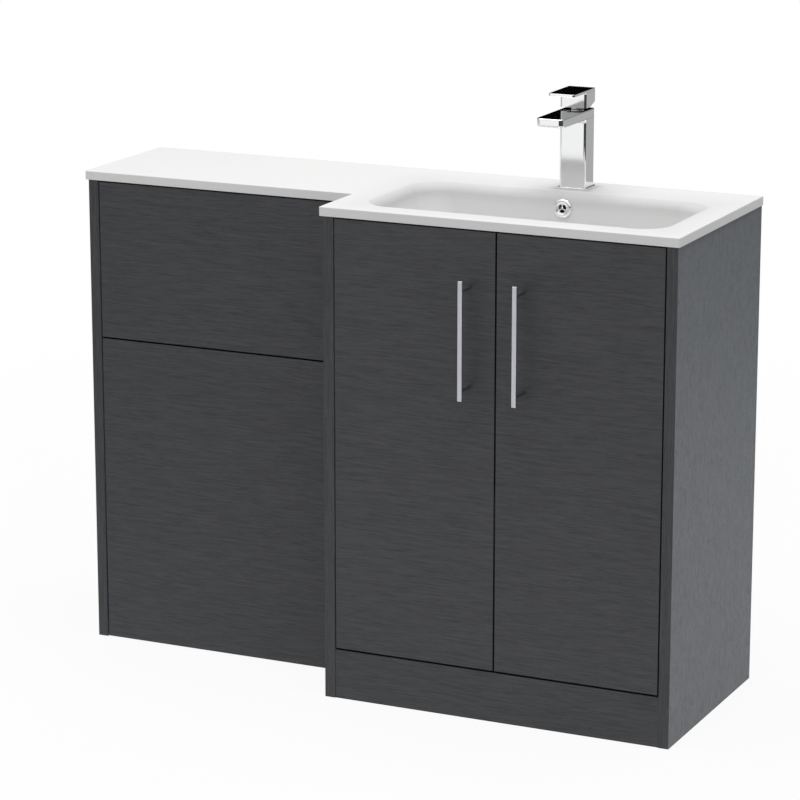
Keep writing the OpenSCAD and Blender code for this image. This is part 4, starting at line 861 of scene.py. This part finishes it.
def makeHandle(node, name):
    h = handle
    lo, hi = [(np.array(corner) - shift) * 1000 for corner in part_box(node)]
    wide, deep = h["bar"]
    cx, cz, bar = (lo[0] + hi[0]) / 2, (lo[2] + hi[2]) / 2, lo[1] + deep
    low, high = (cx - wide / 2, lo[1], lo[2]), (cx + wide / 2, bar, hi[2])
    r, length = h["post"], hi[1] - bar + h["lap"]
    parts = [roundedBox(low, high, h["edge"], h["edgeSteps"])]
    parts += [lathe([(r, 0), (r, length)], (cx, bar - h["lap"], cz + s * h["reach"]), "Y", h["postSides"])
              for s in (-1, 1)]
    piece = meshFrom(name, placed(parts), "handle_metal")
    paintEdges(piece.data, inFrame(low), inFrame(high), h["edge"] / 1000)
    # faces behind the bar, the posts, take the painted shade and reflection colour
    piece.data.materials.append(darkPost)
    limit = inFrame((cx, bar + h["behind"], cz))[1]
    behind = readVectors(piece.data.polygons, "center")[:, 1] > limit
    piece.data.polygons.foreach_set("material_index", behind.astype(np.int32))
    weighNormals(piece)
    standFor(piece, node)


makeHandle("handle_left", "handleBarLeft")
makeHandle("handle_right", "handleBarRight")
print("handles made")


# tones and brightness of the studio; pairs are the range over which one changes into the next
room = dict(
    floor=9.0, floorTone=0.6, seenTone=0.95, floorRough=0.9, seenGlow=0.91, openGlow=(1.0, 3.0), glossGlow=0.97,
    fill=0.55, lampPower=71, lampSize=3.0, lampAt=(0.08, -0.3, 3.6), lampTo=(0.05, -0.05, 0.8),
    dark=dict(way=(0.848, -0.53), low=0.56, high=0.62, gloss=0.04, start=(1.9, 2.3), top=(0.12, 0.2)),
    left=dict(way=(-0.99, -0.14), low=0.6, high=0.8, gloss=0.5, start=(1.2, 1.6), top=(0.3, 0.5)),
    near=1.0, far=0.43, farStart=(1.6, 3.0), front=0.345, frontTop=(0.28, 0.36), behind=(0.0, 0.3), above=0.6,
    band=(0.40, 0.55), bandSide=(-0.1, 0.15), bandRight=0.22)


def sectorMask(tree, vector, sector):  # 1 where the level part of a direction lies near the sector's way
    level = vectorMath(tree, "NORMALIZE", vectorMath(tree, "MULTIPLY", vector, (1, 1, 0)))
    return ramp(tree, vectorMath(tree, "DOT_PRODUCT", level, (*sector["way"], 0)), sector["low"], sector["high"])


def makeFloor():
    # near white to the camera; polished metal sees it white near by, grey far behind and at the left, and
    # dark at the right
    size = room["floor"]
    mesh = bpy.data.meshes.new("studioFloor")
    mesh.from_pydata([(-size, -size, 0), (size, -size, 0), (size, size, 0), (-size, size, 0)], [], [(0, 1, 2, 3)])
    floor = addObject("studioFloor", mesh)
    material, tree, shader = startMaterial("paleFloor", {"Roughness": room["floorRough"],
                                                         "Specular IOR Level": 0.0})
    path = addNode(tree, "ShaderNodeLightPath").outputs
    seen = path["Is Camera Ray"]
    feed(tree, shader.inputs["Base Color"], mixColor(tree, seen, [room["floorTone"]] * 3, [room["seenTone"]] * 3))
    spot = objectPlace(tree)
    split = addNode(tree, "ShaderNodeSeparateXYZ", {0: spot}).outputs
    away = vectorMath(tree, "LENGTH", spot)
    gloss = mixFloat(tree, ramp(tree, split["Y"], *room["farStart"]), room["near"], room["far"])
    for sector in (room["left"], room["dark"]):
        mask = multiply(tree, sectorMask(tree, spot, sector), ramp(tree, away, *sector["start"]))
        gloss = mixFloat(tree, mask, gloss, sector["gloss"])
    glow = addNode(tree, "ShaderNodeEmission", {"Strength": mixFloat(tree, seen, gloss, 1.0)}).outputs[0]
    polished = multiply(tree, path["Is Glossy Ray"], room["glossGlow"])
    shown = ramp(tree, away, *room["openGlow"], room["seenGlow"], 1.0)
    share = mixFloat(tree, seen, polished, shown)
    blend = addNode(tree, "ShaderNodeMixShader", {0: share, 1: shader.outputs[0], 2: glow}).outputs[0]
    # seen from below, the floor doesn't hide the object
    below = addNode(tree, "ShaderNodeNewGeometry").outputs["Backfacing"]
    clear = addNode(tree, "ShaderNodeBsdfTransparent").outputs[0]
    under = addNode(tree, "ShaderNodeMixShader", {0: below, 1: blend, 2: clear}).outputs[0]
    out = next(n for n in tree.nodes if n.type == "OUTPUT_MATERIAL")
    feed(tree, out.inputs["Surface"], under)
    mesh.materials.append(material)


def makeWorld():
    # even fill; polished metal sees grey low in front and white above it, a dark band low behind with grey above,
    # a grey left and a dark right
    world = bpy.data.worlds.new("studioLight")
    bpy.context.scene.world = world
    world.use_nodes = True
    tree = world.node_tree
    back = next(n for n in tree.nodes if n.type == "BACKGROUND")
    path = addNode(tree, "ShaderNodeLightPath").outputs
    way = addNode(tree, "ShaderNodeTexCoord").outputs["Generated"]
    split = addNode(tree, "ShaderNodeSeparateXYZ", {0: way}).outputs
    behind = ramp(tree, split["Y"], *room["behind"])
    front = ramp(tree, split["Z"], *room["frontTop"], room["front"], 1.0)
    gloss = mixFloat(tree, behind, front, room["above"])
    for sector in (room["left"], room["dark"]):
        mask = multiply(tree, sectorMask(tree, way, sector), ramp(tree, split["Z"], *sector["top"], 1.0, 0.0))
        gloss = mixFloat(tree, mask, gloss, sector["gloss"])
    band = multiply(tree, behind, ramp(tree, split["Z"], *room["band"], 1.0, 0.0))
    gloss = mixFloat(tree, band, gloss, ramp(tree, split["X"], *room["bandSide"], 0.0, room["bandRight"]))
    strength = mixFloat(tree, path["Is Glossy Ray"], room["fill"], gloss)
    feed(tree, back.inputs["Strength"], mixFloat(tree, path["Is Camera Ray"], strength, 1.0))
    feed(tree, back.inputs["Color"], (1, 1, 1))


def makeLamp():  # one soft lamp above the object
    lampData = bpy.data.lights.new("softTop", "AREA")
    lampData.shape = "SQUARE"
    lampData.size = room["lampSize"]
    lampData.energy = room["lampPower"]
    lamp = addObject("softTop", lampData)
    lamp.location = room["lampAt"]
    lamp.rotation_euler = (Vector(room["lampTo"]) - Vector(room["lampAt"])).to_track_quat("-Z", "Y").to_euler()


makeFloor()
makeWorld()
makeLamp()
print("room lit")

others = [node for node in nodes if node not in done]
for node in others:
    words = node.split("_")
    small = "inner" if slotOf[node] == "board_inner" else "plastic" if "plastic" in slotOf[node] else "metal"
    softCopy(node, words[0] + "".join(word.capitalize() for word in words[1:]) + "Fine", board[small])
print("other nodes refined:", len(others))
